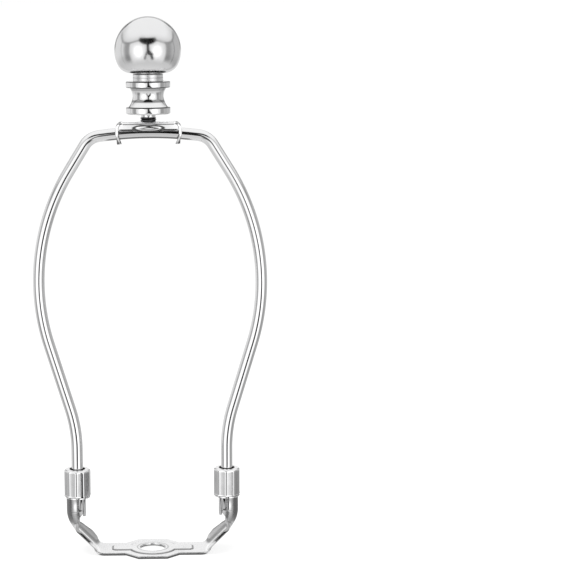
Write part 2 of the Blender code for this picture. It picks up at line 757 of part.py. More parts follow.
def finial_profile():
    """The spool under the ball, with its threaded bore, top first."""
    low = FINIAL_BOTTOM
    flange_top = low + LOWER_FLANGE
    upper = WAIST_TOP
    upper_top = upper + UPPER_FLANGE
    round_edge = 0.5 * MM
    profile = [
        (0.0, BALL_SEAT + SPIGOT_HEIGHT),
        (SPIGOT_RADIUS - round_edge, BALL_SEAT + SPIGOT_HEIGHT),
        (SPIGOT_RADIUS, BALL_SEAT + SPIGOT_HEIGHT - round_edge),
        (SPIGOT_RADIUS, BALL_SEAT),
        (FINIAL_NECK_RADIUS, BALL_SEAT),
        (FINIAL_NECK_RADIUS, upper_top),
        (FLANGE_RADIUS - round_edge, upper_top),
        (FLANGE_RADIUS, upper_top - round_edge),
        (FLANGE_RADIUS, upper + round_edge),
        (FLANGE_RADIUS - round_edge, upper),
    ]
    profile += waist_points(flange_top, upper)
    profile += [
        (FLANGE_RADIUS - round_edge, flange_top),
        (FLANGE_RADIUS, flange_top - round_edge),
        (FLANGE_RADIUS, low + 2.0 * round_edge),
        (FLANGE_RADIUS - 0.4 * round_edge, low + 0.8 * round_edge),
        (FLANGE_RADIUS - 1.6 * round_edge, low),
        (THREAD_BORE + round_edge, low),
        (THREAD_BORE, low + round_edge),
        (THREAD_BORE, low + THREAD_DEPTH),
        (0.0, low + THREAD_DEPTH + THREAD_BORE * math.tan(math.radians(30.0))),
    ]
    return profile


def waist_points(low, high):
    """Hollow of the spool, from its upper root to its lower one."""
    count = 9
    middle = high - WAIST_UPPER_SHARE * (high - low)
    points = []
    for i in range(count + 1):
        z = high + (low - high) * i / count
        if z > middle:
            swell = WAIST_UPPER_SWELL * ((z - middle) / (high - middle)) ** 2
        else:
            swell = WAIST_LOWER_SWELL * ((middle - z) / (middle - low)) ** 2
        points.append((WAIST_RADIUS + swell, z))
    return points


def ball_profile():
    """The ball, top first: rounded into its flat seat and bored for the spool's spigot."""
    seat = BALL_SEAT + REST_GAP
    roof = BALL_SEAT + SPIGOT_HEIGHT + REST_GAP
    socket = SPIGOT_RADIUS + REST_GAP
    foot_z = seat + BALL_FOOT_ROUND
    drop = foot_z - BALL_CENTRE
    foot_x = math.sqrt((BALL_RADIUS - BALL_FOOT_ROUND) ** 2 - drop**2)
    meet = math.atan2(drop, foot_x)
    quarter = 0.5 * math.pi
    profile = [(0.0, BALL_CENTRE + BALL_RADIUS)]
    profile += arc_points((0.0, BALL_CENTRE), BALL_RADIUS, quarter, meet, 14)[1:]
    profile += arc_points((foot_x, foot_z), BALL_FOOT_ROUND, meet, -quarter, 5)[1:]
    profile += [(socket, seat), (socket, roof), (0.0, roof)]
    return profile


def main():
    clear_scene()
    group = make_collection("lamp_harp", False)
    tools = make_collection("lamp_harp_tools", True)
    nickel = make_material("bright_nickel", (0.80, 0.80, 0.81), 0.12, 1.0)
    stamped = make_material("stamped_nickel", (0.78, 0.78, 0.79), 0.22, 1.0)
    satin = make_material("satin_nickel", (0.74, 0.74, 0.75), 0.32, 1.0)
    threaded = make_material("threaded_steel", (0.55, 0.55, 0.57), 0.35, 1.0)
    build_saddle(group, tools, stamped)
    build_wire(group, tools, nickel)
    leg = wire_half()[-1][0]
    build_ferrule("ferrule_right", 1.0, leg, group, tools, nickel)
    build_ferrule("ferrule_left", -1.0, leg, group, tools, nickel)
    build_clip(group, tools, stamped)
    turned("threaded_stud", stud_profile(), group, threaded)
    turned("finial_base", finial_profile(), group, nickel)
    turned("finial_ball", ball_profile(), group, satin)


main()
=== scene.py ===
"""Looks of a lamp harp: plated wire, stamped saddle and clip, fluted ferrules, ball finial."""

import math

import bmesh
import bpy
from bpy.props import FloatProperty, FloatVectorProperty, IntProperty, PointerProperty
from mathutils import Matrix, Vector


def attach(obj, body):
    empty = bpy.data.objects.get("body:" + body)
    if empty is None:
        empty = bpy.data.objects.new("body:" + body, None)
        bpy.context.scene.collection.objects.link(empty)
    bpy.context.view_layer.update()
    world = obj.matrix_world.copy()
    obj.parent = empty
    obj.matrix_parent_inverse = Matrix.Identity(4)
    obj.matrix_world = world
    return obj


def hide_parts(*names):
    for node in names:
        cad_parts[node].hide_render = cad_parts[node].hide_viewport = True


bl_info = {
    "name": "Lamp harp",
    "version": (1, 0, 0),
    "blender": (4, 5, 0),
    "location": "3D View > Sidebar > Lamp harp",
    "description": "Builds the plated look of a lamp harp round its packed model",
    "category": "Object",
}

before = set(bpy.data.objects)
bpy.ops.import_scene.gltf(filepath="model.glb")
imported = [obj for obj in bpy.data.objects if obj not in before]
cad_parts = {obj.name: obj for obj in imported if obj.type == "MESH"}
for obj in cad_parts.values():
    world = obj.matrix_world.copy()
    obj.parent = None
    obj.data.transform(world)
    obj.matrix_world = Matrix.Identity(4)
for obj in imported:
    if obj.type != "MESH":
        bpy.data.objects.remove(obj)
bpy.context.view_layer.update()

MM = 0.001
QUARTER = 0.5 * math.pi
MERGE_DISTANCE = 1e-7
EDGE_ANGLE = math.radians(40.0)
EDGE_SEGMENTS = 2
DISPLAY_GAMMA = 2.2
WHITE = (1.0, 1.0, 1.0, 1.0)


def length(name, description, millimetres):
    """A length property, given in millimetres and kept in metres."""
    return FloatProperty(
        name=name,
        description=description,
        default=millimetres * MM,
        precision=5,
        subtype="DISTANCE",
        unit="LENGTH",
    )


def angle(name, description, degrees):
    return FloatProperty(
        name=name,
        description=description,
        default=math.radians(degrees),
        subtype="ANGLE",
        unit="ROTATION",
    )


def share(name, description, value):
    return FloatProperty(
        name=name, description=description, default=value, min=0.0, subtype="FACTOR"
    )


def colour(name, description, value):
    return FloatVectorProperty(
        name=name, description=description, default=value, size=3, min=0.0, subtype="COLOR"
    )


class WireSizes(bpy.types.PropertyGroup):
    radius: length("Wire radius", "Radius of the round wire", 2.38)
    crown_height: length("Crown height", "Height of the wire's centre line at the crown", 172.6)
    crown_radius: length("Crown radius", "Bend of the crown", 151.0)
    crown_half: length("Crown half length", "Half the length of the crown", 20.0)
    corner_radius: length("Corner radius", "Bend from crown to shoulder", 8.0)
    shoulder_angle: angle("Shoulder angle", "Slope of the shoulder", 58.2)
    shoulder_length: length("Shoulder length", "Straight part of the shoulder", 12.0)
    bow_radius: length("Bow radius", "Bend of the wide bow", 86.4)
    flank_angle: angle("Flank angle", "Slope of the flank below the bow", 106.9)
    flank_length: length("Flank length", "Straight part of the flank", 27.9)
    knee_radius: length("Knee radius", "Bend from flank to leg", 57.0)
    leg_cut: length("Leg end", "Height of the end of the round leg", 18.6)
    ring_spacing: length("Ring spacing", "Distance between the rings of the swept wire", 1.1)
    sides: IntProperty(name="Sides", description="Sides of the swept wire", default=32, min=8)
    wing_bottom: length("Wing bottom", "Lower edge of the pressed wing", 17.7)
    wing_top: length("Wing top", "Upper edge of the pressed wing", 25.0)
    wing_outer: length("Wing outer face", "Outer face of the wing from the leg's centre", -0.4)
    wing_inner: length("Wing inner face", "Inner face of the wing from the leg's centre", -2.3)
    wing_half: length("Wing half width", "Half width of the pressed wing", 3.6)
    tongue_bottom: length("Tongue bottom", "Lower edge of the tongue", 15.4)
    tongue_top: length("Tongue top", "Upper edge of the tongue", 27.5)
    tongue_thickness: length("Tongue thickness", "Thickness of the tongue", 1.0)
    tongue_half: length("Tongue half width", "Half width of the tongue", 2.7)


class SaddleSizes(bpy.types.PropertyGroup):
    sheet: length("Sheet", "Thickness of the stamped sheet", 1.1)
    ear_radius: length("Ear radius", "Outer radius of the curled ear", 4.6)
    ear_top: length("Ear top", "Height of the ears", 33.3)
    step_height: length("Step height", "Height of the ear's lower lip", 17.3)
    trough_angle: angle("Trough half angle", "Half the angle that the ear wraps", 92.0)
    bowl_lip: length("Bowl lip", "How far the bowl stays open past the ear's axis", 2.1)
    strip_half: length("Strip half width", "Half width of the saddle beside its plate", 7.35)
    plate_half: length("Plate half width", "Half width of the centre plate", 12.5)
    plate_front: length("Plate front", "Half length of the plate's front edge", 5.8)
    plate_length: length("Plate half length", "Half length of the centre plate", 10.9)
    arm_angle: angle("Arm angle", "Slope of the arms", 44.9)
    foot_radius: length("Foot radius", "Bend from plate to arm", 6.1)
    elbow_radius: length("Elbow radius", "Bend from arm to ear", 11.1)
    elbow_top: length("Elbow top", "Height where the ear stands upright", 17.6)
    petal_height: length("Petal height", "Height of the arm's widest place", 5.0)
    petal_half: length("Petal half width", "Half width of the arm's widest place", 8.7)
    petal_top: length("Petal top", "Height where the arm narrows to its neck", 8.0)
    petal_top_half: length("Petal top half width", "Half width of the arm at the petal's top", 7.7)
    dish_height: length("Dish height", "Height where the arm's shallow dish is full", 3.0)
    dish_radius: length("Dish radius", "Radius of the arm's shallow dish", 25.0)
    curl_start: length("Curl start", "Height where the sheet starts to curl into the ear", 9.4)
    neck_height: length("Neck height", "Height of the neck below the bowl", 12.0)
    neck_half: length("Neck half width", "Half width of the neck", 5.2)
    hole_radius: length("Hole radius", "Radius of the hole for the lamp pipe", 5.35)
    pad_radius: length("Pad radius", "Radius of the pressed pad", 9.8)
    pad_height: length("Pad height", "Height of the pressed pad", 0.35)
    rib_margin: length("Rib end margin", "Distance from a rib's end to the arm's bend", 3.1)
    rib_half: length("Rib half width", "Half width of the pressed ribs", 3.6)
    rib_corner: length("Rib corner", "Rounding of the ribs' blunt ends", 1.6)
    rib_slope: length("Rib slope", "Width of the slope round the pressed pad", 0.7)
    edge_round: length("Edge rounding", "Rounding of the sheet's edges", 0.16)


class FerruleSizes(bpy.types.PropertyGroup):
    bottom: length("Bottom", "Height of the ferrule's lower edge", 23.0)
    height: length("Height", "Height of the ferrule", 11.9)
    radius: length("Radius", "Radius over the ridges", 5.45)
    toe: length("Toe", "How far the lower edge of the ridges flares", 0.16)
    lip_radius: length("Lip radius", "Radius of the plain lip", 5.12)
    lip_height: length("Lip height", "Height of the plain lip", 0.7)
    shoulder: length("Shoulder", "Rounding of the upper edge", 0.95)
    wall: length("Top wall", "Thickness of the closed top", 1.2)
    eye: length("Eye radius", "Radius of the hole for the wire", 3.1)
    bore: length("Bore radius", "Radius of the bore over the ear", 4.85)
    flutes: IntProperty(name="Flutes", description="Number of flutes", default=10, min=3)
    flute_depth: length("Flute depth", "Depth of a flute", 0.28)
    flute_share: share("Flute share", "Share of the turn taken by the flutes", 0.86)
    flute_phase: FloatProperty(
        name="Flute phase",
        description="Place of the first ridge, as a share of a turn",
        default=-0.265,
    )


class ClipSizes(bpy.types.PropertyGroup):
    sheet: length("Sheet", "Thickness of the clip's sheet", 0.9)
    top: length("Top", "Height of the clip's top face", 176.9)
    fit: length("Fit", "Clearance between clip and wire", 0.3)
    arm_half: length("Arm half length", "Half length of the channel", 11.7)
    end_round: length("End rounding", "Rounding of the channel's upper ends", 1.8)
    bend: length("Bend radius", "Outer bend of the channel", 1.4)
    flare: angle("Flare", "Outward slope of the channel's sides", 9.5)
    crown: length("Crown", "Bulge of the pressed sheet's middle in its shading", 1.3)
    edge: length("Edge", "Height of the channel's lower edge", 174.1)
    lobe_half: length("Lobe half length", "Half length of the lobe", 6.1)
    lobe_bottom: length("Lobe bottom", "Height of the lobe's lower edge", 173.3)
    lens_bulge: length("Lens bulge", "How far the pressed lens stands out of the lobe", 0.5)
    claw_tip: length("Claw tip", "Height of the claws' tips", 167.9)
    claw_bulge: length("Claw bulge", "Reach of the claws at their widest", 13.3)
    claw_root: length("Claw root", "Where the claws leave the channel", 10.2)
    claw_reach: length("Claw tip reach", "Reach of the claws at their tips", 11.6)
    claw_spread: length("Claw spread", "Distance by which the tips pass each other", 0.8)
    claw_sheet: length("Claw thickness", "Thickness of the claws", 1.2)
    collar_radius: length("Collar radius", "Radius of the collar round the stud", 5.2)
    collar_height: length("Collar height", "Height of the collar round the stud", 0.25)
    edge_round: length("Edge rounding", "Rounding of the sheet's edges", 0.2)


class StudSizes(bpy.types.PropertyGroup):
    radius: length("Stud radius", "Radius over the thread", 3.175)
    top: length("Stud top", "Height of the stud", 190.0)
    pitch: length("Pitch", "Pitch of the thread", 0.9407)
    depth: length("Thread depth", "Depth of the thread", 0.45)
    collar_rise: length("Collar rise", "Height of the dark threaded foot", 1.45)
    groove: length("Groove", "Depth of the smooth neck over the foot", 0.3)
    groove_height: length("Groove height", "Height of the smooth neck over the foot", 1.5)
    tenon: length("Tenon radius", "Radius of the riveted tenon", 2.2)
    rivet: length("Rivet radius", "Radius of the riveted head", 2.55)
    rivet_height: length("Rivet height", "Height of the riveted head", 0.7)
    clearance: length("Clearance", "Gap between stud and clip", 0.3)


class FinialSizes(bpy.types.PropertyGroup):
    bottom: length("Bottom", "Height of the finial's lower face", 179.9)
    flange_radius: length("Flange radius", "Radius of the two flanges", 8.9)
    lower_flange: length("Lower flange", "Height of the lower flange", 2.8)
    upper_flange: length("Upper flange", "Height of the upper flange", 2.5)
    neck_radius: length("Neck radius", "Radius of the neck under the ball", 6.0)
    waist_radius: length("Waist radius", "Smallest radius of the spool", 6.2)
    waist_top: length("Waist top", "Height of the spool's upper root", 190.4)
    upper_share: share("Upper share", "Share of the waist above its thinnest place", 0.44)
    upper_swell: length("Upper swell", "Extra radius at the waist's upper root", 1.15)
    lower_swell: length("Lower swell", "Extra radius at the waist's lower root", 1.85)
    seat: length("Ball seat", "Height of the seat of the ball", 195.8)
    ball_radius: length("Ball radius", "Radius of the ball", 13.3)
    ball_centre: length("Ball centre", "Height of the ball's centre", 205.3)
    foot_round: length("Foot rounding", "Rounding of the ball into its flat seat", 6.0)
    spigot_radius: length("Spigot radius", "Radius of the spigot in the ball", 3.4)
    spigot_height: length("Spigot height", "Height of the spigot in the ball", 5.0)
    bore: length("Bore radius", "Radius of the threaded bore", 3.475)
    bore_depth: length("Bore depth", "Depth of the threaded bore", 11.0)
    clearance: length("Clearance", "Gap between ball and spool", 0.3)
    round_edge: length("Edge rounding", "Rounding of the flanges' edges", 0.45)


class FinishColours(bpy.types.PropertyGroup):
    bright: colour("Bright plating", "Colour of the polished plating", (0.93, 0.93, 0.935))
    stamped: colour("Stamped plating", "Colour of the plating on stamped sheet", (0.95, 0.95, 0.955))
    satin: colour("Satin plating", "Colour of the plating on the ball", (0.88, 0.88, 0.885))
    thread: colour("Thread", "Colour of the plated thread", (0.90, 0.90, 0.905))
    # Painted shade for the stud's dark foot over the clip.
    foot_shade: colour("Dark foot", "Colour of the dark foot of the stud", (0.07, 0.07, 0.073))


class StageSizes(bpy.types.PropertyGroup):
    camera_distance: length("Camera distance", "Distance from the harp to the camera", 737.2)
    camera_height: length("Camera height", "Height of the camera", 225.2)
    camera_pitch: angle("Camera pitch", "Downward tilt of the camera", 8.86)
    camera_roll: angle("Camera roll", "Roll of the camera", -0.6)
    lens: FloatProperty(name="Lens", description="Focal length", default=115.92, unit="CAMERA")
    shift: FloatProperty(name="Shift", description="Sideways shift of the lens", default=0.238)
    floor_size: length("Floor size", "Side of the floor", 200000.0)
    lamp_height: length("Lamp height", "Height of the soft lamp", 900.0)
    lamp_size: length("Lamp size", "Side of the soft lamp", 600.0)
    lamp_power: FloatProperty(
        name="Lamp power", description="Power of the soft lamp", default=9.0, unit="POWER"
    )


class LampHarpSettings(bpy.types.PropertyGroup):
    wire: PointerProperty(type=WireSizes)
    saddle: PointerProperty(type=SaddleSizes)
    ferrule: PointerProperty(type=FerruleSizes)
    clip: PointerProperty(type=ClipSizes)
    stud: PointerProperty(type=StudSizes)
    finial: PointerProperty(type=FinialSizes)
    colours: PointerProperty(type=FinishColours)
    stage: PointerProperty(type=StageSizes)


class Value:
    """A node's output socket, with arithmetic that adds Math nodes to its tree."""

    def __init__(self, graph, link):
        self.graph = graph
        self.link = link

    def out(self, name):
        """Another output of the same node."""
        return Value(self.graph, self.link.node.outputs[name])

    def math(self, operation, *others):
        return self.graph.add("ShaderNodeMath", {"operation": operation}, [self, *others])

    def _from(self, operation, first):
        return self.graph.add("ShaderNodeMath", {"operation": operation}, [first, self])

    def __add__(self, other):
        return self.math("ADD", other)

    __radd__ = __add__

    def __sub__(self, other):
        return self.math("SUBTRACT", other)

    def __rsub__(self, other):
        return self._from("SUBTRACT", other)

    def __mul__(self, other):
        return self.math("MULTIPLY", other)

    __rmul__ = __mul__

    def __truediv__(self, other):
        return self.math("DIVIDE", other)

    def __pow__(self, other):
        return self.math("POWER", other)

    def __abs__(self):
        return self.math("ABSOLUTE")

    def hypot(self, other):
        """Root of the sum of both squares."""
        return (self * self + other * other).math("SQRT")

    def step(self, low, high, to_low=0.0, to_high=1.0):
        """Smooth step from to_low at low to to_high at high."""
        settings = {"interpolation_type": "SMOOTHSTEP"}
        return self.graph.add("ShaderNodeMapRange", settings, [self, low, high, to_low, to_high])

    def line(self, half):
        """1 on a thin line where the value is 0, fading to 0 at half of its width."""
        return abs(self).step(half, 0.3 * half)

    def band(self, low, high, soft):
        """1 between low and high, with soft borders."""
        return self.step(low - soft, low + soft) * self.step(high + soft, high - soft)

    def blended(self, other, part):
        """This value moved towards another by a part of the way."""
        return self + (other - self) * part


class Graph:
    """A node tree that is written as Python calls."""

    def __init__(self, tree):
        self.tree = tree

    def add(self, kind, settings=None, inputs=None, output=0):
        """Add a node: its settings first, then its sockets, and return one output."""
        node = self.tree.nodes.new(kind)
        for key, value in (settings or {}).items():
            setattr(node, key, value)
        inputs = inputs or {}
        for key, value in inputs.items() if isinstance(inputs, dict) else enumerate(inputs):
            if isinstance(value, Value):
                self.tree.links.new(value.link, node.inputs[key])
            else:
                node.inputs[key].default_value = value
        return Value(self, node.outputs[output])

    def split(self, vector):
        """The three parts of a vector."""
        x = self.add("ShaderNodeSeparateXYZ", {}, [vector])
        return x, x.out("Y"), x.out("Z")

    def attribute(self, name):
        return self.add("ShaderNodeAttribute", {"attribute_name": name}, output="Fac")

    def noise(self, vector, scale, detail=2.0, roughness=0.5):
        inputs = {"Vector": vector, "Scale": scale, "Detail": detail, "Roughness": roughness}
        return self.add("ShaderNodeTexNoise", {}, inputs)

    def grain(self, vector, scale, detail):
        """Noise with its own scale along each axis."""
        stretched = self.add("ShaderNodeMapping", {}, {"Vector": vector, "Scale": scale})
        return self.noise(stretched, 1.0, detail)

    def mix_colour(self, factor, first, second):
        inputs = {0: factor, 6: first, 7: second}
        return self.add("ShaderNodeMix", {"data_type": "RGBA"}, inputs, output=2)


class Shape(Graph):
    """A Geometry Nodes tree with named inputs that ends in real geometry with a material."""

    def __init__(self, name, sizes):
        super().__init__(bpy.data.node_groups.new(name, "GeometryNodeTree"))
        sockets = self.tree.interface
        sockets.new_socket("Geometry", in_out="INPUT", socket_type="NodeSocketGeometry")
        for key, value in sizes.items():
            whole = isinstance(value, int)
            kind = "NodeSocketInt" if whole else "NodeSocketFloat"
            sockets.new_socket(key, in_out="INPUT", socket_type=kind).default_value = value
        sockets.new_socket("Material", in_out="INPUT", socket_type="NodeSocketMaterial")
        sockets.new_socket("Geometry", in_out="OUTPUT", socket_type="NodeSocketGeometry")
        self.entry = self.tree.nodes.new("NodeGroupInput")
        self.exit = self.tree.nodes.new("NodeGroupOutput")

    def given(self, name):
        return Value(self, self.entry.outputs[name])

    def finish(self, geometry):
        real = self.add("GeometryNodeRealizeInstances", {}, {"Geometry": geometry})
        inputs = {"Geometry": real, "Material": self.given("Material")}
        done = self.add("GeometryNodeSetMaterial", {}, inputs)
        self.tree.links.new(done.link, self.exit.inputs["Geometry"])
        return self.tree

    def stored(self, geometry, name, value):
        inputs = {"Geometry": geometry, "Name": name, "Value": value}
        return self.add("GeometryNodeStoreNamedAttribute", {}, inputs)

    def moved(self, geometry, place):
        """Set the position of all points and end the tree."""
        position = self.add("ShaderNodeCombineXYZ", {}, place)
        inputs = {"Geometry": geometry, "Position": position}
        return self.finish(self.add("GeometryNodeSetPosition", {}, inputs))

    def cylindrical(self):
        """Position, its angle about Z as a share of a turn, its radius and its height."""
        x, y, z = self.split(self.add("GeometryNodeInputPosition"))
        return x, y, y.math("ARCTAN2", x) / math.tau, x.hypot(y), z


def linked(name, data):
    """A new object for a mesh, curve, light or camera, at the origin."""
    data.name = name
    item = bpy.data.objects.new(name, data)
    bpy.context.scene.collection.objects.link(item)
    return item


def built(name, work):
    """A new object for a bmesh, which is used up."""
    mesh = bpy.data.meshes.new(name)
    work.to_mesh(mesh)
    work.free()
    return linked(name, mesh)


def settled(item):
    """Turn an object with its modifiers or curve into a plain mesh object."""
    bpy.context.view_layer.update()
    graph = bpy.context.evaluated_depsgraph_get()
    mesh = bpy.data.meshes.new_from_object(item.evaluated_get(graph))
    name = item.name
    bpy.data.objects.remove(item, do_unlink=True)
    return linked(name, mesh)


def grown(source, tree, values, material):
    """Run a Geometry Nodes tree on an object and return the plain mesh that it makes."""
    modifier = source.modifiers.new("Shape", "NODES")
    modifier.node_group = tree
    for socket in tree.interface.items_tree:
        if socket.in_out == "INPUT" and socket.name in values:
            modifier[socket.identifier] = values[socket.name]
        if socket.in_out == "INPUT" and socket.name == "Material":
            modifier[socket.identifier] = material
    return settled(source)


def cleaned(item, material, sharp=35.0):
    """Merge doubles, face outwards, shade smooth up to sharp degrees, give the material."""
    work = bmesh.new()
    work.from_mesh(item.data)
    bmesh.ops.remove_doubles(work, verts=work.verts, dist=MERGE_DISTANCE)
    bmesh.ops.recalc_face_normals(work, faces=work.faces)
    work.to_mesh(item.data)
    work.free()
    item.data.materials.clear()
    item.data.materials.append(material)
    item.data.polygons.foreach_set("material_index", [0] * len(item.data.polygons))
    item.data.polygons.foreach_set("use_smooth", [True] * len(item.data.polygons))
    item.data.set_sharp_from_angle(angle=math.radians(sharp))
    return item


def weighted(item):
    """Let the large faces rule the shading, so that flat sheet reads flat."""
    modifier = item.modifiers.new("Weighted normals", "WEIGHTED_NORMAL")
    modifier.keep_sharp = True
    return settled(item)


def dressed(item, node, body):
    """Let a finished piece stand for its CAD node and ride on the node's body."""
    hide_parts(node)
    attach(item, body)
    return item


def combined(item, tools, operation):
    """Exact Boolean with several tools, which are used up."""
    for tool in tools:
        modifier = item.modifiers.new(tool.name, "BOOLEAN")
        modifier.operation = operation
        modifier.solver = "EXACT"
        modifier.object = tool
    item = settled(item)
    for tool in tools:
        bpy.data.objects.remove(tool, do_unlink=True)
    return item


def rounded_edges(item, width):
    """Round the sharp edges of a mesh."""
    bevel = item.modifiers.new("Edges", "BEVEL")
    bevel.limit_method = "ANGLE"
    bevel.angle_limit = EDGE_ANGLE
    bevel.width = width
    bevel.segments = EDGE_SEGMENTS
    bevel.use_clamp_overlap = True
    return settled(item)


def turned(name, profile, steps):
    """Revolve a profile of (radius, height) points about the Z axis."""
    work = bmesh.new()
    verts = [work.verts.new((radius, 0.0, height)) for radius, height in profile]
    edges = [work.edges.new(pair) for pair in zip(verts, verts[1:])]
    if profile[0][0] > 0.0:
        edges.append(work.edges.new((verts[-1], verts[0])))
    bmesh.ops.spin(
        work,
        geom=verts + edges,
        axis=(0.0, 0.0, 1.0),
        cent=(0.0, 0.0, 0.0),
        angle=math.tau,
        steps=steps,
        use_merge=True,
    )
    bmesh.ops.remove_doubles(work, verts=work.verts, dist=MERGE_DISTANCE)
    bmesh.ops.recalc_face_normals(work, faces=work.faces)
    return built(name, work)


def drill(name, radius, high, low, steps):
    """A plain cylinder that cuts a hole."""
    return turned(name, [(0.0, high), (radius, high), (radius, low), (0.0, low)], steps)


def extruded(name, outline, half_depth, plane):
    """A flat outline in plane XZ or YZ, extruded both ways."""
    turns = {
        "XZ": Matrix(((1, 0, 0, 0), (0, 0, -1, 0), (0, 1, 0, 0), (0, 0, 0, 1))),
        "YZ": Matrix(((0, 0, 1, 0), (1, 0, 0, 0), (0, 1, 0, 0), (0, 0, 0, 1))),
    }
    work = bmesh.new()
    face = work.faces.new([work.verts.new((a, b, -half_depth)) for a, b in outline])
    more = bmesh.ops.extrude_face_region(work, geom=[face])
    moved = [part for part in more["geom"] if isinstance(part, bmesh.types.BMVert)]
    bmesh.ops.translate(work, vec=(0.0, 0.0, 2.0 * half_depth), verts=moved)
    bmesh.ops.transform(work, matrix=turns[plane], verts=work.verts)
    bmesh.ops.recalc_face_normals(work, faces=work.faces)
    return built(name, work)


def block(name, low, high, bevel):
    """A box between two corners with rounded edges."""
    work = bmesh.new()
    bmesh.ops.create_cube(work, size=1.0)
    bmesh.ops.scale(work, vec=Vector(high) - Vector(low), verts=work.verts)
    bmesh.ops.translate(work, vec=0.5 * (Vector(high) + Vector(low)), verts=work.verts)
    bmesh.ops.bevel(
        work, geom=work.edges[:], offset=bevel, segments=4, profile=0.5, affect="EDGES"
    )
    return built(name, work)


def arc_points(centre, radius, start, end, count):
    """Points of an arc in its plane, from angle start to angle end."""
    turns = [start + (end - start) * i / count for i in range(count + 1)]
    x, y = centre
    return [(x + radius * math.cos(turn), y + radius * math.sin(turn)) for turn in turns]


def filleted(points, radii, count=5):
    """A profile with its corners rounded; radii holds one radius for each point."""
    loop = []
    for i, (point, radius) in enumerate(zip(points, radii)):
        if radius <= 0.0 or i in (0, len(points) - 1):
            loop.append(point)
            continue
        corner = Vector(point)
        before = (Vector(points[i - 1]) - corner).normalized()
        after = (Vector(points[i + 1]) - corner).normalized()
        half = 0.5 * before.angle(after)
        reach = radius / math.tan(half)
        centre = corner + (before + after).normalized() * (radius / math.sin(half))
        first = corner + before * reach - centre
        last = corner + after * reach - centre
        swing = math.atan2(first.x * last.y - first.y * last.x, first.dot(last))
        start = math.atan2(first.y, first.x)
        loop += arc_points(centre, radius, start, start + swing, count)
    return loop


def blend(low, high, value):
    """Smooth step from 0 at low to 1 at high."""
    t = min(1.0, max(0.0, (value - low) / (high - low)))
    return t * t * (3.0 - 2.0 * t)


class Bender:
    """A pen that follows the wire as it's bent in the XZ plane."""

    def __init__(self, x, z):
        self.x = x
        self.z = z
        self.heading = 0.0
        self.points = [(x, z)]

    def straight(self, distance):
        count = max(1, round(distance / (4.0 * MM)))
        for _ in range(count):
            self.x += distance / count * math.cos(self.heading)
            self.z += distance / count * math.sin(self.heading)
            self.points.append((self.x, self.z))

    def bend_to(self, heading, radius):
        turn = heading - self.heading
        count = max(4, round(abs(turn) / math.radians(1.5)))
        chord = 2.0 * radius * math.sin(abs(turn) / count / 2.0)
        for _ in range(count):
            middle = self.heading + turn / count / 2.0
            self.x += chord * math.cos(middle)
            self.z += chord * math.sin(middle)
            self.heading += turn / count
            self.points.append((self.x, self.z))


def wire_half(size):
    """Centre line of the right half of the wire, from the crown to the end of the leg."""
    pen = Bender(0.0, size.crown_height)
    pen.bend_to(-size.crown_half / size.crown_radius, size.crown_radius)
    pen.bend_to(-size.shoulder_angle, size.corner_radius)
    pen.straight(size.shoulder_length)
    pen.bend_to(-size.flank_angle, size.bow_radius)
    pen.straight(size.flank_length)
    pen.bend_to(-QUARTER, size.knee_radius)
    pen.straight(pen.z - size.leg_cut)
    return pen.points


def leg_place(size):
    """Distance of a leg's centre from the middle of the harp."""
    return wire_half(size)[-1][0]


class Plating(Graph):
    """A metal material on its piece's own coordinates, with values fed to its shader."""

    def __init__(self, name, tone, roughness):
        self.material = bpy.data.materials.new(name)
        self.material.use_nodes = True
        super().__init__(self.material.node_tree)
        self.tone = tone
        self.shader = self.tree.nodes["Principled BSDF"]
        self.shader.inputs["Metallic"].default_value = 1.0
        self.shader.inputs["Roughness"].default_value = roughness
        self.shader.inputs["Base Color"].default_value = (*tone, 1.0)
        self.place = self.add("ShaderNodeTexCoord", output="Object")
        self.x, self.y, self.z = self.split(self.place)

    def feed(self, **values):
        """Link values to the shader's sockets and return the material."""
        for key, value in values.items():
            self.tree.links.new(value.link, self.shader.inputs[key.replace("_", " ")])
        return self.material

    def bumped(self, height, strength, distance, **below):
        inputs = {"Height": height, "Strength": strength, "Distance": distance, **below}
        return self.add("ShaderNodeBump", {}, inputs)

    def scaled(self, factor, tone, low, high):
        """A tone at strength low where the factor is 0, and high where it is 1."""
        first, second = ((*(strength * part for part in tone), 1.0) for strength in (low, high))
        return self.mix_colour(factor, first, second)

    def toned(self, shade):
        """The metal's colour darkened to a share of its shown brightness, as painted shade."""
        return self.scaled(shade**DISPLAY_GAMMA, self.tone, 0.0, 1.0)


def wire_plating(colours, size, clip):
    """Polished plating with faint drawing lines along the wire, and painted shade under the clip,
    along the crown's underside and on the ends.
    """
    metal = Plating("bright_wire_plating", colours.bright, 0.05)
    around = metal.attribute("around") * 60.0
    along = metal.attribute("along") * 25.0
    lines = metal.add("ShaderNodeCombineXYZ", {}, [around, along, 0.0])
    drawn = metal.noise(lines, 1.0, 3.0)
    cloud = metal.noise(metal.place, 90.0, 3.0)
    reach = abs(metal.x)
    # Painted shade where the clip covers the crown, most on its upper half.
    inside = clip.arm_half + 0.3 * MM
    covered = reach.step(inside, inside - 0.4 * MM)
    above = metal.z - size.crown_height
    upper = above.step(-0.5 * MM, 0.1 * MM)
    crown = above.step(-7.0 * MM, -6.0 * MM)
    # Painted shade: a thin dark line along the crown's underside.
    under = above + reach * reach / (2.0 * size.crown_radius)
    under = (under + 0.86 * size.radius).line(0.24 * size.radius)
    under = under * reach.step(18.0 * MM, 15.0 * MM)
    # Painted shade on the ends, which sit inside the ferrules and ears.
    ends = metal.z.step(31.0 * MM, 28.0 * MM)
    painted_shade = (covered * (upper * 0.2 + 0.06) + under * 0.5) * crown + ends * 0.14
    return metal.feed(
        Base_Color=metal.toned(1.0 - painted_shade - cloud * 0.03),
        Roughness=(cloud + drawn * 0.5).step(0.5, 1.0, 0.035, 0.085),
        Normal=metal.bumped(drawn, 0.04, 0.00006),
    )


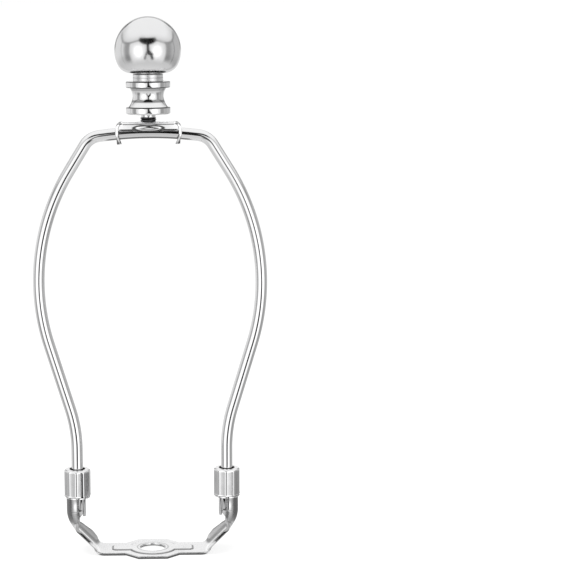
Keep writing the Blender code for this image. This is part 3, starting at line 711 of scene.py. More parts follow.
def stamped_plating(colours, name, shading, crown=0.0, matt_below=None):
    """Plating on stamped sheet: fine grain, orange peel, painted shade lines and highlights from its
    shading, and a slight crown.
    """
    metal = Plating(name, colours.stamped, 0.1)
    rolled = metal.grain(metal.place, (60.0, 1400.0, 1400.0), 3.0)
    peel = metal.noise(metal.place, 420.0, 2.0)
    cloud = metal.noise(metal.place, 120.0, 3.0)
    along = abs(metal.x)
    # Painted shade and highlights from the piece's own shading.
    shade = shading(along, metal.y, metal.z)
    normal = metal.bumped(rolled * 0.35 + peel, 0.08, 0.00015)
    if crown > 0.0:
        normal = metal.bumped(along * along * -crown, 1.0, 1.0, Normal=normal)
    if matt_below is not None:
        matt = metal.z.step(matt_below, matt_below - MM)
        metal.feed(Metallic=1.0 - matt * (0.24 + cloud * 0.06))
        shade = shade - matt * 0.07
    return metal.feed(
        Base_Color=metal.toned(shade - cloud * 0.04),
        Roughness=(cloud + rolled * 0.4 - shade * 0.9).step(-0.4, 0.4, 0.07, 0.32),
        Normal=normal,
    )


def fluted_plating(colours, size, leg):
    """Plating on the ferrules: bright ridges and lip, with painted shade in the hollows, along the
    ridges' flanks, on a seam over the lip and round the eye.
    """
    metal = Plating("fluted_plating", colours.bright, 0.08)
    hollow = metal.attribute("hollow")
    z = metal.z
    away = (abs(metal.x) - leg).hypot(metal.y)
    lines = metal.grain(metal.place, (1800.0, 1800.0, 70.0), 2.0)
    cloud = metal.noise(metal.place, 260.0, 3.0)
    toe = size.bottom + size.lip_height
    top = size.bottom + size.height
    flank = z.step(toe + 0.2 * MM, toe + 0.8 * MM) * z.step(top - 0.6 * MM, top - 1.2 * MM)
    # Painted shade: darker flute hollows, and a dark line where each hollow meets a ridge.
    painted_shade = hollow.step(0.3, 0.8) * (0.16 + cloud * 0.1) * flank
    edge = abs(hollow - 0.22).step(0.2, 0.05) * 0.4 * flank
    # Painted shade: a dark eye round the wire and a dark seam over the lip.
    eye = away.step(size.eye + 0.25 * MM, size.eye + 0.05 * MM)
    seam = (z - toe).line(0.22 * MM) * 0.45
    shade = (1.0 - painted_shade - edge) * (1.0 - seam) * (1.0 - eye * 0.85)
    return metal.feed(
        Base_Color=metal.toned(shade),
        Roughness=(painted_shade + cloud * 0.1).step(0.0, 0.4, 0.07, 0.26),
        Normal=metal.bumped(lines, 0.06, 0.0001),
    )


def turned_plating(name, tone, roughness, ring_strength, lines=(), soft_above=None):
    """Plating on a turned piece: rings of the lathe, and painted shade lines at steps and roots."""
    metal = Plating(name, tone, roughness)
    rings = metal.grain(metal.place, (12.0, 12.0, 2600.0), 2.0)
    cloud = metal.noise(metal.place, 150.0, 4.0, 0.6)
    shade = 1.0 - cloud * 0.03
    # Painted shade: dark rings at the listed heights.
    for centre, half, depth in lines:
        shade = shade - (metal.z - centre).line(half) * depth
    rough = cloud.step(0.3, 0.75, 0.75 * roughness, 1.4 * roughness)
    if soft_above is not None:
        rough = rough + metal.z.step(soft_above, soft_above + 0.1 * MM) * 0.25
    return metal.feed(
        Base_Color=metal.toned(shade),
        Roughness=rough,
        Normal=metal.bumped(rings, ring_strength, 0.0001),
    )


def thread_plating(colours, size, foot):
    """Bright plated thread with painted shade in its roots, and a near-black painted shade on the
    foot that stands on the clip.
    """
    metal = Plating("thread_plating", colours.thread, 0.3)
    radius = metal.x.hypot(metal.y)
    crest = radius.step(size.radius - size.depth, size.radius - 0.1 * size.depth)
    top = foot + size.collar_rise
    raised = metal.z.step(top - 0.08 * MM, top + 0.08 * MM)
    cloud = metal.noise(metal.place, 900.0, 3.0)
    # Painted shade: the foot near black with lighter crests, and the thread's roots darker than its
    # crests.
    dark = metal.scaled(crest * cloud, colours.foot_shade, 0.6, 2.2)
    light = metal.scaled(crest * 0.4 + 0.6, colours.thread, 0.8, 1.0)
    return metal.feed(
        Base_Color=metal.mix_colour(raised, dark, light),
        Roughness=raised.step(0.0, 1.0, 0.4, 0.16),
        Normal=metal.bumped(cloud, 0.12, 0.0001),
    )


class HARP_OT_wire(bpy.types.Operator):
    """Bend the harp's wire and press its two ends"""

    bl_idname = "lamp_harp.wire"
    bl_label = "Wire"

    wing_bevel = 0.35 * MM
    tongue_bevel = 0.3 * MM
    overlap = 0.2 * MM

    def execute(self, context):
        settings = context.scene.lamp_harp
        size = settings.wire
        material = wire_plating(settings.colours, size, settings.clip)
        source = self.centre_line(size)
        sizes = {"Wire Radius": size.radius, "Sides": size.sides, "Ring Spacing": size.ring_spacing}
        wire = grown(source, self.sweep_tree(sizes), sizes, material)
        wire = combined(wire, self.pressed_ends(size), "UNION")
        dressed(cleaned(wire, material), "harp_wire", "harp")
        return {"FINISHED"}

    def centre_line(self, size):
        half = wire_half(size)
        points = [(-x, z) for x, z in reversed(half)] + half[1:]
        curve = bpy.data.curves.new("wire_bar", "CURVE")
        curve.dimensions = "3D"
        spline = curve.splines.new("POLY")
        spline.points.add(len(points) - 1)
        for point, (x, z) in zip(spline.points, points):
            point.co = (x, 0.0, z, 1.0)
        return linked("wire_bar", curve)

    def sweep_tree(self, sizes):
        """Sweep a round section along the centre line, keeping place along and around it."""
        shape = Shape("Swept wire", sizes)
        inputs = {"Curve": shape.given("Geometry"), "Length": shape.given("Ring Spacing")}
        line = shape.add("GeometryNodeResampleCurve", {"mode": "LENGTH"}, inputs)
        along = shape.add("GeometryNodeSplineParameter", output="Length")
        line = shape.stored(line, "along", along)
        inputs = {"Resolution": shape.given("Sides"), "Radius": shape.given("Wire Radius")}
        section = shape.add("GeometryNodeCurvePrimitiveCircle", {}, inputs)
        around = shape.add("GeometryNodeSplineParameter", output="Factor")
        section = shape.stored(section, "around", around)
        inputs = {"Curve": line, "Profile Curve": section, "Fill Caps": True}
        return shape.finish(shape.add("GeometryNodeCurveToMesh", {}, inputs))

    def pressed_ends(self, size):
        leg = leg_place(size)
        tools = []
        for side in (1.0, -1.0):
            wing = sorted((side * (leg + size.wing_outer), side * (leg + size.wing_inner)))
            low = (wing[0], -size.wing_half, size.wing_bottom)
            high = (wing[1], size.wing_half, size.wing_top)
            tools.append(block("tool_wing", low, high, self.wing_bevel))
            near = leg + size.wing_inner + self.overlap
            far = leg + size.wing_inner - size.tongue_thickness
            tongue = sorted((side * near, side * far))
            low = (tongue[0], -size.tongue_half, size.tongue_bottom)
            high = (tongue[1], size.tongue_half, size.tongue_top)
            tools.append(block("tool_tongue", low, high, self.tongue_bevel))
        return tools


class SaddleSheet:
    """Maps the saddle's flat blank to its bent and curled form, on the right side."""

    def __init__(self, size, leg):
        self.size = size
        self.middle = 0.5 * size.sheet
        self.curl = size.ear_radius - self.middle
        self.post_x = leg + self.curl
        rise = size.elbow_radius * math.cos(size.arm_angle)
        self.elbow_x = self.post_x - size.elbow_radius * (1.0 - math.sin(size.arm_angle))
        self.elbow_z = size.elbow_top - rise
        foot_half = size.foot_radius * math.tan(0.5 * size.arm_angle)
        run = (self.elbow_z - self.middle) / math.tan(size.arm_angle)
        self.flat = self.elbow_x - run - foot_half
        self.rib_end = self.flat - size.rib_margin - size.rib_corner
        self.rib_side = size.rib_half - size.rib_corner
        self.foot = size.foot_radius * size.arm_angle
        self.slope = (self.elbow_z - self.middle) / math.sin(size.arm_angle) - foot_half
        self.elbow = size.elbow_radius * (QUARTER - size.arm_angle)
        self.post = size.ear_top - size.elbow_top
        self.length = self.flat + self.foot + self.slope + self.elbow + self.post
        step_turn = math.asin((size.elbow_top - size.step_height) / size.elbow_radius)
        self.step = self.length - self.post - size.elbow_radius * step_turn

    def spine(self, s):
        """Place and heading of the sheet's middle line at blank length s."""
        size = self.size
        if s <= self.flat:
            return s, self.middle, 0.0
        s -= self.flat
        if s <= self.foot:
            turn = s / size.foot_radius
            x = self.flat + size.foot_radius * math.sin(turn)
            return x, self.middle + size.foot_radius * (1.0 - math.cos(turn)), turn
        s -= self.foot
        if s <= self.slope:
            left = self.slope - s
            x = self.elbow_x - left * math.cos(size.arm_angle)
            return x, self.elbow_z - left * math.sin(size.arm_angle), size.arm_angle
        s -= self.slope
        if s <= self.elbow:
            turn = size.arm_angle + s / size.elbow_radius
            x = self.elbow_x + size.elbow_radius * (math.sin(turn) - math.sin(size.arm_angle))
            z = self.elbow_z + size.elbow_radius * (math.cos(size.arm_angle) - math.cos(turn))
            return x, z, turn
        return self.post_x, size.elbow_top + s - self.elbow, QUARTER

    def half_width(self, s):
        """Half width of the blank at length s."""
        size = self.size
        z = self.spine(s)[1]
        if s <= size.plate_front:
            return size.plate_half
        if s <= size.plate_length:
            t = (s - size.plate_front) / (size.plate_length - size.plate_front)
            return size.plate_half + (size.strip_half - size.plate_half) * t
        if s > self.step:
            return self.curl * size.trough_angle
        bowl = self.curl * (math.pi - math.acos(size.bowl_lip / self.curl))
        if z > size.neck_height:
            t = min(1.0, (z - size.neck_height) / (size.step_height - size.neck_height))
            return size.neck_half + (bowl - size.neck_half) * math.sin(QUARTER * t)
        if z > size.petal_top:
            t = blend(size.petal_top, size.neck_height, z)
            return size.petal_top_half + (size.neck_half - size.petal_top_half) * t
        if z > size.petal_height:
            t = (z - size.petal_height) / (size.petal_top - size.petal_height)
            return size.petal_half + (size.petal_top_half - size.petal_half) * t
        t = blend(self.middle, size.petal_height, z)
        return size.strip_half + (size.petal_half - size.strip_half) * t

    def curvature(self, s):
        """Curl across the sheet: a shallow dish on the arm, that of the ear from the neck on."""
        size = self.size
        z = self.spine(s)[1]
        dish = blend(self.middle, size.dish_height, z) / size.dish_radius
        return dish + (1.0 / self.curl - dish) * blend(size.curl_start, size.neck_height, z)

    def pressed(self, x, y):
        """Height of the pressed pad and its ribs at a place on the flat plate."""
        size = self.size
        disc = math.hypot(x, y) - size.pad_radius
        past = max(0.0, x - self.rib_end)
        beside = max(0.0, abs(y) - self.rib_side)
        rib = math.hypot(past, beside) - size.rib_corner
        return size.pad_height * (1.0 - blend(-size.rib_slope, 0.0, min(disc, rib)))

    def place(self, s, across):
        """Point of the middle surface at blank length s and across in -1 to 1."""
        x, z, heading = self.spine(s)
        width = across * self.half_width(s)
        curl = self.curvature(s)
        if curl * self.curl < 1e-4:
            side = width
            rise = self.pressed(x, width)
        else:
            side = math.sin(width * curl) / curl
            rise = (1.0 - math.cos(width * curl)) / curl
        return x - rise * math.sin(heading), side, z + rise * math.cos(heading)

    def shading(self, along, y, z):
        """Painted shade and highlight: dark lines round the pressed pad and hole, a darker front
        edge, rims and far half on the arms, and darker ears with a bright spot.
        """
        size = self.size
        # Painted shade: dark lines round the pressed pad and its ribs, and round the hole.
        past = (along - self.rib_end).math("MAXIMUM", 0.0)
        beside = (abs(y) - self.rib_side).math("MAXIMUM", 0.0)
        rib = past.hypot(beside) - size.rib_corner
        disc = along.hypot(y)
        pad = (disc - size.pad_radius).math("MINIMUM", rib)
        lines = (pad + 0.15 * MM).line(0.55 * MM) * 0.4
        lines = lines + (disc - size.hole_radius - 1.0 * MM).line(0.4 * MM) * 0.2
        top = z.step(0.7 * size.sheet, 0.95 * size.sheet)
        shade = 1.0 - top * z.step(2.2 * MM, 1.8 * MM) * lines
        # Painted shade on the sheet's front edge.
        shade = shade * z.step(0.45 * size.sheet, 0.85 * size.sheet, 0.5, 1.0)
        # Painted shade along the arms' rims and over their far half.
        half = z.step(self.middle, size.petal_height, size.strip_half, size.petal_half)
        narrow = size.petal_half - size.petal_top_half
        half = half - z.step(size.petal_height, size.petal_top) * narrow
        narrow = size.petal_top_half - size.neck_half
        half = half - z.step(size.petal_top, size.neck_height) * narrow
        arm = z.step(1.3 * MM, 2.6 * MM)
        arm = arm * z.step(size.neck_height + 1.0 * MM, size.neck_height - 0.5 * MM)
        rim = arm * (abs(y) - half).step(-0.7 * MM, -0.1 * MM)
        far = arm * y.step(-1.5 * MM, 3.5 * MM)
        shade = shade * (1.0 - rim * 0.28) * (1.0 - far * 0.1)
        # Painted shade on the ears, darkest on their outer side, with a painted highlight spot.
        out = (along - self.post_x + self.curl) / size.ear_radius
        spot_x = (out - 0.04) / 0.36
        spot_z = (z - 19.8 * MM) / (2.6 * MM)
        spot = spot_x.hypot(spot_z).step(1.25, 0.2)
        ear = z.step(size.neck_height - 0.5 * MM, size.neck_height + 1.5 * MM)
        painted_shade = 0.3 - spot * 0.34 + out.step(0.4, 0.85) * 0.14
        return shade * (1.0 - ear * painted_shade)

    def stations(self, spacing):
        """Blank lengths at which the sheet is sampled, denser where the width jumps."""
        size = self.size
        marks = [0.0]
        step_end = self.step + 0.05 * MM
        ends = (size.plate_front, size.plate_length, self.flat, self.step, step_end, self.length)
        for end in ends:
            start = marks[-1]
            count = max(1, round((end - start) / spacing))
            marks.extend(start + (end - start) * (i + 1) / count for i in range(count))
        return marks


class HARP_OT_saddle(bpy.types.Operator):
    """Stamp and curl the saddle out of one sheet"""

    bl_idname = "lamp_harp.saddle"
    bl_label = "Saddle"

    columns = 56
    spacing = 0.45 * MM
    matt_height = 2.6 * MM
    hole_steps = 96

    def execute(self, context):
        settings = context.scene.lamp_harp
        size = settings.saddle
        sheet = SaddleSheet(size, leg_place(settings.wire))
        material = stamped_plating(
            settings.colours, "saddle_plating", sheet.shading, matt_below=self.matt_height
        )
        stations = sheet.stations(self.spacing)
        work = bmesh.new()
        bmesh.ops.create_grid(
            work, x_segments=len(stations) - 1, y_segments=self.columns, size=1.0
        )
        for vert in work.verts:
            column = round((vert.co.x + 1.0) * 0.5 * (len(stations) - 1))
            vert.co = sheet.place(stations[column], vert.co.y)
        item = built("saddle_sheet", work)
        mirror = item.modifiers.new("Mirror", "MIRROR")
        mirror.merge_threshold = 1e-6
        item = settled(item)
        cleaned(item, material)
        solidify = item.modifiers.new("Thickness", "SOLIDIFY")
        solidify.thickness = size.sheet
        solidify.offset = 0.0
        solidify.use_even_offset = True
        item = cleaned(settled(item), material)
        high = 4.0 * size.sheet
        hole = drill("tool_hole", size.hole_radius, high, -size.sheet, self.hole_steps)
        item = combined(item, [hole], "DIFFERENCE")
        item = rounded_edges(item, size.edge_round)
        dressed(cleaned(item, material, sharp=50.0), "harp_saddle", "saddle")
        return {"FINISHED"}


class HARP_OT_ferrules(bpy.types.Operator):
    """Turn and flute the two ferrules"""

    bl_idname = "lamp_harp.ferrules"
    bl_label = "Ferrules"

    def execute(self, context):
        settings = context.scene.lamp_harp
        size = settings.ferrule
        leg = leg_place(settings.wire)
        material = fluted_plating(settings.colours, size, leg)
        sizes = {
            "Ridge Radius": size.radius,
            "Flutes": size.flutes,
            "Flute Depth": size.flute_depth,
            "Flute Share": size.flute_share,
            "Flute Phase": size.flute_phase,
        }
        tree = self.flute_tree(sizes)
        for side, label in ((1.0, "right"), (-1.0, "left")):
            blank = turned(f"ferrule_{label}_blank", self.profile(size), 16 * size.flutes)
            ferrule = grown(blank, tree, sizes, material)
            ferrule.data.transform(Matrix.Translation((side * leg, 0.0, 0.0)))
            node = f"ferrule_{label}"
            dressed(cleaned(ferrule, material, sharp=60.0), node, node)
        return {"FINISHED"}

    def profile(self, size):
        """Outer profile down to the lip, then up the bore, top first."""
        top = size.bottom + size.height
        toe = size.bottom + size.lip_height
        toe_radius = size.radius + size.toe
        under = top - size.wall
        corners = [
            (size.eye, under), (size.eye, top), (size.radius, top),
            (size.radius, toe + 4.0 * size.toe), (toe_radius, toe + size.toe), (toe_radius, toe),
            (size.lip_radius, toe), (size.lip_radius, size.bottom), (size.bore, size.bottom),
            (size.bore, under),
        ]
        fine = 0.06 * MM
        radii = [0.0, 0.3 * MM, size.shoulder, fine, fine, fine, fine, 0.08 * MM, fine, 0.0]
        rounded = filleted(corners, radii, 8)
        dense = [rounded[0]]
        for point in rounded[1:]:
            start = Vector(dense[-1])
            gap = (Vector(point) - start).length
            count = max(1, math.ceil(gap / (0.5 * MM)))
            dense += [tuple(start.lerp(Vector(point), (i + 1) / count)) for i in range(count)]
        return dense

    def flute_tree(self, sizes):
        """Press flutes into everything that reaches past their floor."""
        shape = Shape("Fluted ferrule", sizes)
        x, y, turn, radius, z = shape.cylindrical()
        place = ((turn - shape.given("Flute Phase")) * shape.given("Flutes")).math("FRACT")
        ridge = abs(place * 2.0 - 1.0) / shape.given("Flute Share")
        hollow = (1.0 - ridge * ridge).math("MAXIMUM", 0.0) * shape.given("Flute Depth")
        floor = shape.given("Ridge Radius") - hollow
        plain = hollow.math("LESS_THAN", 0.00001) * 0.001
        wanted = radius.math("SMOOTH_MIN", floor + plain, 0.00006)
        scale = wanted / radius
        pressed = hollow / shape.given("Flute Depth") * radius.math("GREATER_THAN", floor)
        blank = shape.stored(shape.given("Geometry"), "hollow", pressed)
        return shape.moved(blank, [x * scale, y * scale, z])


class HARP_OT_clip(bpy.types.Operator):
    """Fold the top clip and crimp its claws round the wire"""

    bl_idname = "lamp_harp.clip"
    bl_label = "Top clip"

    lens_inset = 0.3 * MM
    claw_half = 2.0 * MM
    hook_angle = math.radians(24.0)
    hole_steps = 48
    collar_steps = 64

    def execute(self, context):
        settings = context.scene.lamp_harp
        size = settings.clip
        wire = settings.wire
        stud = settings.stud
        crown = size.crown / size.arm_half**2
        material = stamped_plating(settings.colours, "clip_plating", self.shading, crown)
        inner = wire.radius + size.fit
        clip = extruded("clip_channel", self.channel_section(size, inner), size.claw_bulge, "YZ")
        side = extruded("tool_side", self.side_outline(size), 3.0 * wire.radius, "XZ")
        clip = combined(clip, [side], "INTERSECT")
        wire_z = wire.crown_height - size.claw_bulge**2 / (2.0 * wire.crown_radius)
        additions = [
            self.claw(size, inner, wire_z, direction, depth)
            for direction in (1.0, -1.0)
            for depth in (-1.0, 1.0)
        ]
        additions += [self.lens(size, inner, depth) for depth in (-1.0, 1.0)]
        additions.append(self.collar(size, stud))
        clip = combined(clip, additions, "UNION")
        radius = stud.tenon + stud.clearance
        high = size.top + 3.0 * MM
        hole = drill("tool_tenon", radius, high, size.edge, self.hole_steps)
        clip = combined(clip, [hole], "DIFFERENCE")
        clip = rounded_edges(clip, size.edge_round)
        clip = weighted(cleaned(clip, material, sharp=45.0))
        dressed(clip, "top_clip", "harp")
        return {"FINISHED"}

    def shading(self, along, y, z):
        """Painted shade and reflection: a dark rim and smile round the pressed lens, dark lines at
        the folds and along the claws, and darker claw tips and corners.
        """
        size = bpy.context.scene.lamp_harp.clip
        middle, tall = self.lens_form(size)
        wide = size.lobe_half - self.lens_inset
        rise = (z - middle) / tall
        away = (along / wide).hypot(rise)
        # Painted reflection: a dark rim and a smile line on the lens.
        rim = abs(away - 1.0).step(0.2, 0.05) * 0.6
        lens_smile_reflection = abs(away - 0.5).step(0.2, 0.06) * rise.step(0.1, -0.2)
        outside = abs(y).step(3.3 * MM, 3.5 * MM)
        shade = 1.0 - outside * (rim + lens_smile_reflection * 0.25)
        # Painted shade at the fold beside the lobe, on the claws' tips and in the channel's upper
        # corners.
        fold = (z - size.top + 0.95 * MM).line(0.22 * MM)
        fold = fold * along.step(size.lobe_half, size.lobe_half + 0.5 * MM)
        tip = z.step(size.claw_tip + 1.3 * MM, size.claw_tip + 0.6 * MM)
        edge_z = (z - size.top + 0.6 * MM) / (0.45 * MM)
        edge_x = (along - size.arm_half + 0.5 * MM) / (0.9 * MM)
        corner = edge_x.hypot(edge_z).step(1.2, 0.5)
        # Painted shade lines along the claws' outline.
        bow = z.step(size.top - 2.4 * MM, size.top) * 1.4 * MM
        bow = bow + z.step(size.claw_tip + 4.0 * MM, size.claw_tip) * 1.3 * MM
        away = along + bow - size.claw_bulge
        line = away.step(-0.4 * MM, -0.1 * MM)
        line = line + (away + size.claw_sheet).line(0.3 * MM) * 0.8
        shade = shade * (1.0 - line * z.step(size.top - 0.5 * MM, size.top - MM) * 0.45)
        return shade * (1.0 - fold * 0.25) * (1.0 - tip * 0.2) * (1.0 - corner * 0.4)

    def lens_form(self, size):
        """Height of the lens's middle and half of its height."""
        high = size.top - size.bend + 0.2 * MM
        return 0.5 * (high + size.lobe_bottom), 0.5 * (high - size.lobe_bottom)

    def channel_section(self, size, inner):
        """Cross-section of the channel in the YZ plane."""
        outer = inner + size.sheet
        low = size.lobe_bottom - size.sheet
        corner = (outer - size.bend, size.top - size.bend)
        flare = (corner[1] - low) * math.tan(size.flare)
        loop = [(outer + flare, low)] + arc_points(corner, size.bend, size.flare, QUARTER, 8)
        loop += [(-y, z) for y, z in reversed(loop)]
        back = [(inner + flare, low)]
        back += arc_points(corner, size.bend - size.sheet, size.flare, QUARTER, 6)
        back += [(-y, z) for y, z in reversed(back)]
        return loop + back[::-1]

    def side_outline(self, size):
        """Side view of the channel: straight edges, rounded ends and a lobe in the middle."""
        depth = size.lobe_bottom - size.edge
        corner = (size.arm_half - size.end_round, size.top - size.end_round)
        loop = [(-x, z) for x, z in arc_points(corner, size.end_round, 0.0, QUARTER, 10)]
        loop += [(-x, z) for x, z in reversed(loop)]
        loop.append((size.arm_half, size.edge))
        for x, z in arc_points((0.0, 0.0), 1.0, 0.0, math.pi, 32):
            loop.append((size.lobe_half * x, size.edge + depth * z))
        loop.append((-size.arm_half, size.edge))
        return loop

    def claw(self, size, inner, wire_z, direction, depth):
        """One claw: a bent band cut to the form of the prong that hooks under the wire."""
        half = 0.5 * size.claw_sheet
        spread = 0.5 * size.claw_spread * depth * direction
        reach = size.claw_bulge - half
        knots = [
            (size.claw_root, size.top - half),
            (size.claw_root + 1.3 * MM, size.top - half - 0.3 * MM),
            (reach - 0.3 * MM, size.top - 2.0 * MM),
            (reach, wire_z + 0.8 * MM),
            (reach - 0.5 * MM, wire_z - 1.8 * MM),
            (size.claw_reach + spread, size.claw_tip - 0.5 * MM),
        ]
        path = [(direction * x, z) for x, z in smooth_path(knots, 8)]
        claw = extruded("tool_claw", band_outline(path, size.claw_sheet), self.claw_half, "XZ")
        claw.data.transform(Matrix.Translation((0.0, depth * self.claw_half, 0.0)))
        prong = [(depth * y, z) for y, z in self.prong_outline(size, inner, wire_z)]
        trim = extruded("tool_prong", prong, 2.0 * size.claw_bulge, "YZ")
        return combined(claw, [trim], "INTERSECT")

    def prong_outline(self, size, inner, centre_z):
        """End view of a prong that passes the wire and closes in under it."""
        outer = inner + size.sheet
        turn_in = self.hook_angle - QUARTER
        loop = [(outer, size.top + size.sheet), (outer, centre_z)]
        loop += arc_points((0.0, centre_z), outer, 0.0, turn_in, 12)[1:]
        loop.append((0.8 * MM, size.claw_tip))
        loop.append((0.3 * MM, size.claw_tip + 0.5 * MM))
        loop += arc_points((0.0, centre_z), inner, turn_in, 0.0, 12)
        loop.append((inner, size.top - size.sheet))
        return loop

    def lens(self, size, inner, depth):
        """The lens-shaped boss pressed into a lobe."""
        half_height = self.lens_form(size)[1]
        work = bmesh.new()
        bmesh.ops.create_uvsphere(work, u_segments=48, v_segments=24, radius=1.0)
        wide = size.lobe_half - self.lens_inset
        bmesh.ops.scale(work, vec=(wide, size.lens_bulge, half_height), verts=work.verts)
        flare = math.tan(size.flare) * (size.top - size.bend - size.lobe_bottom - half_height)
        tilt = Matrix.Rotation(-depth * size.flare, 3, "X")
        bmesh.ops.rotate(work, cent=(0.0, 0.0, 0.0), matrix=tilt, verts=work.verts)
        middle = (0.0, depth * (inner + size.sheet + flare), size.lobe_bottom + half_height)
        bmesh.ops.translate(work, vec=middle, verts=work.verts)
        return built("tool_lens", work)

    def collar(self, size, stud):
        """The low collar pressed up round the stud."""
        foot = stud.radius + stud.clearance
        profile = [
            (0.0, size.top + size.collar_height),
            (foot, size.top + size.collar_height),
            (size.collar_radius - 0.5 * MM, size.top + 0.3 * size.collar_height),
            (size.collar_radius, size.top - 0.2 * MM),
            (0.0, size.top - 0.2 * MM),
        ]
        return turned("tool_collar", profile, self.collar_steps)


def band_outline(path, thickness):
    """Closed outline of a band of even thickness along a path."""
    left = []
    right = []
    for i, point in enumerate(path):
        before = Vector(path[max(0, i - 1)])
        after = Vector(path[min(len(path) - 1, i + 1)])
        along = (after - before).normalized()
        normal = Vector((-along.y, along.x)) * 0.5 * thickness
        left.append(tuple(Vector(point) + normal))
        right.append(tuple(Vector(point) - normal))
    return left + right[::-1]


def smooth_path(points, per_span):
    """Catmull-Rom curve through points."""
    knots = [Vector(point) for point in points]
    knots = [2.0 * knots[0] - knots[1], *knots, 2.0 * knots[-1] - knots[-2]]
    path = []
    for i in range(1, len(knots) - 2):
        a, b, c, d = knots[i - 1 : i + 3]
        for step in range(per_span):
            t = step / per_span
            point = 2.0 * b + (c - a) * t
            point += (2.0 * a - 5.0 * b + 4.0 * c - d) * t * t
            point += (3.0 * b - a - 3.0 * c + d) * t**3
            path.append(tuple(0.5 * point))
    path.append(tuple(knots[-2]))
    return path


class HARP_OT_stud(bpy.types.Operator):
    """Cut the thread of the stud"""

    bl_idname = "lamp_harp.stud"
    bl_label = "Stud"

    lathe_steps = 72

    def execute(self, context):
        settings = context.scene.lamp_harp
        size = settings.stud
        clip = settings.clip
        foot = clip.top + clip.collar_height + 0.05 * MM
        under = clip.top - clip.sheet - size.clearance
        material = thread_plating(settings.colours, size, foot)
        sizes = {
            "Thread Radius": size.radius,
            "Pitch": size.pitch,
            "Thread Depth": size.depth,
            "Thread End": size.top - 0.5 * MM,
        }
        blank = turned("stud_blank", self.profile(size, foot, under), self.lathe_steps)
        stud = grown(blank, self.thread_tree(sizes), sizes, material)
        dressed(cleaned(stud, material, sharp=40.0), "threaded_stud", "harp")
        return {"FINISHED"}

    def profile(self, size, foot, under):
        neck = size.radius - size.groove
        chamfer = 0.5 * MM
        edge = 0.15 * MM
        start = foot + size.collar_rise
        end = start + size.groove_height
        loop = [(0.0, size.top), (size.radius - chamfer, size.top)]
        loop += self.rows(size, size.top - chamfer, end)
        loop += [(neck, end - 0.3 * MM), (neck, start + edge)]
        loop += self.rows(size, start, foot + edge)
        loop += [(size.radius - edge, foot)]
        loop += [(size.tenon, foot), (size.tenon, under), (size.rivet, under)]
        low = under - size.rivet_height
        loop += [(size.rivet, under - 0.6 * size.rivet_height)]
        return loop + [(size.rivet - 0.5 * MM, low), (0.0, low)]

    def rows(self, size, high, low):
        """Points down the shank, close enough for the thread."""
        count = math.ceil((high - low) / (size.pitch / 10.0))
        return [(size.radius, high + (low - high) * i / count) for i in range(count + 1)]

    def thread_tree(self, sizes):
        """Press a helical groove into the shank, above and below its smooth neck."""
        shape = Shape("Threaded stud", sizes)
        x, y, turn, radius, z = shape.cylindrical()
        phase = (z / shape.given("Pitch") - turn).math("FRACT")
        root = (1.0 - abs(phase * 3.0 - 1.5)).math("MAXIMUM", 0.0)
        end = shape.given("Thread End")
        fade = shape.given("Pitch") * 0.7
        shank = radius.math("GREATER_THAN", shape.given("Thread Radius") * 0.97)
        cut = root * shank * z.step(end, end - fade) * shape.given("Thread Depth")
        scale = (radius - cut) / radius.math("MAXIMUM", 0.00001)
        return shape.moved(shape.given("Geometry"), [x * scale, y * scale, z])


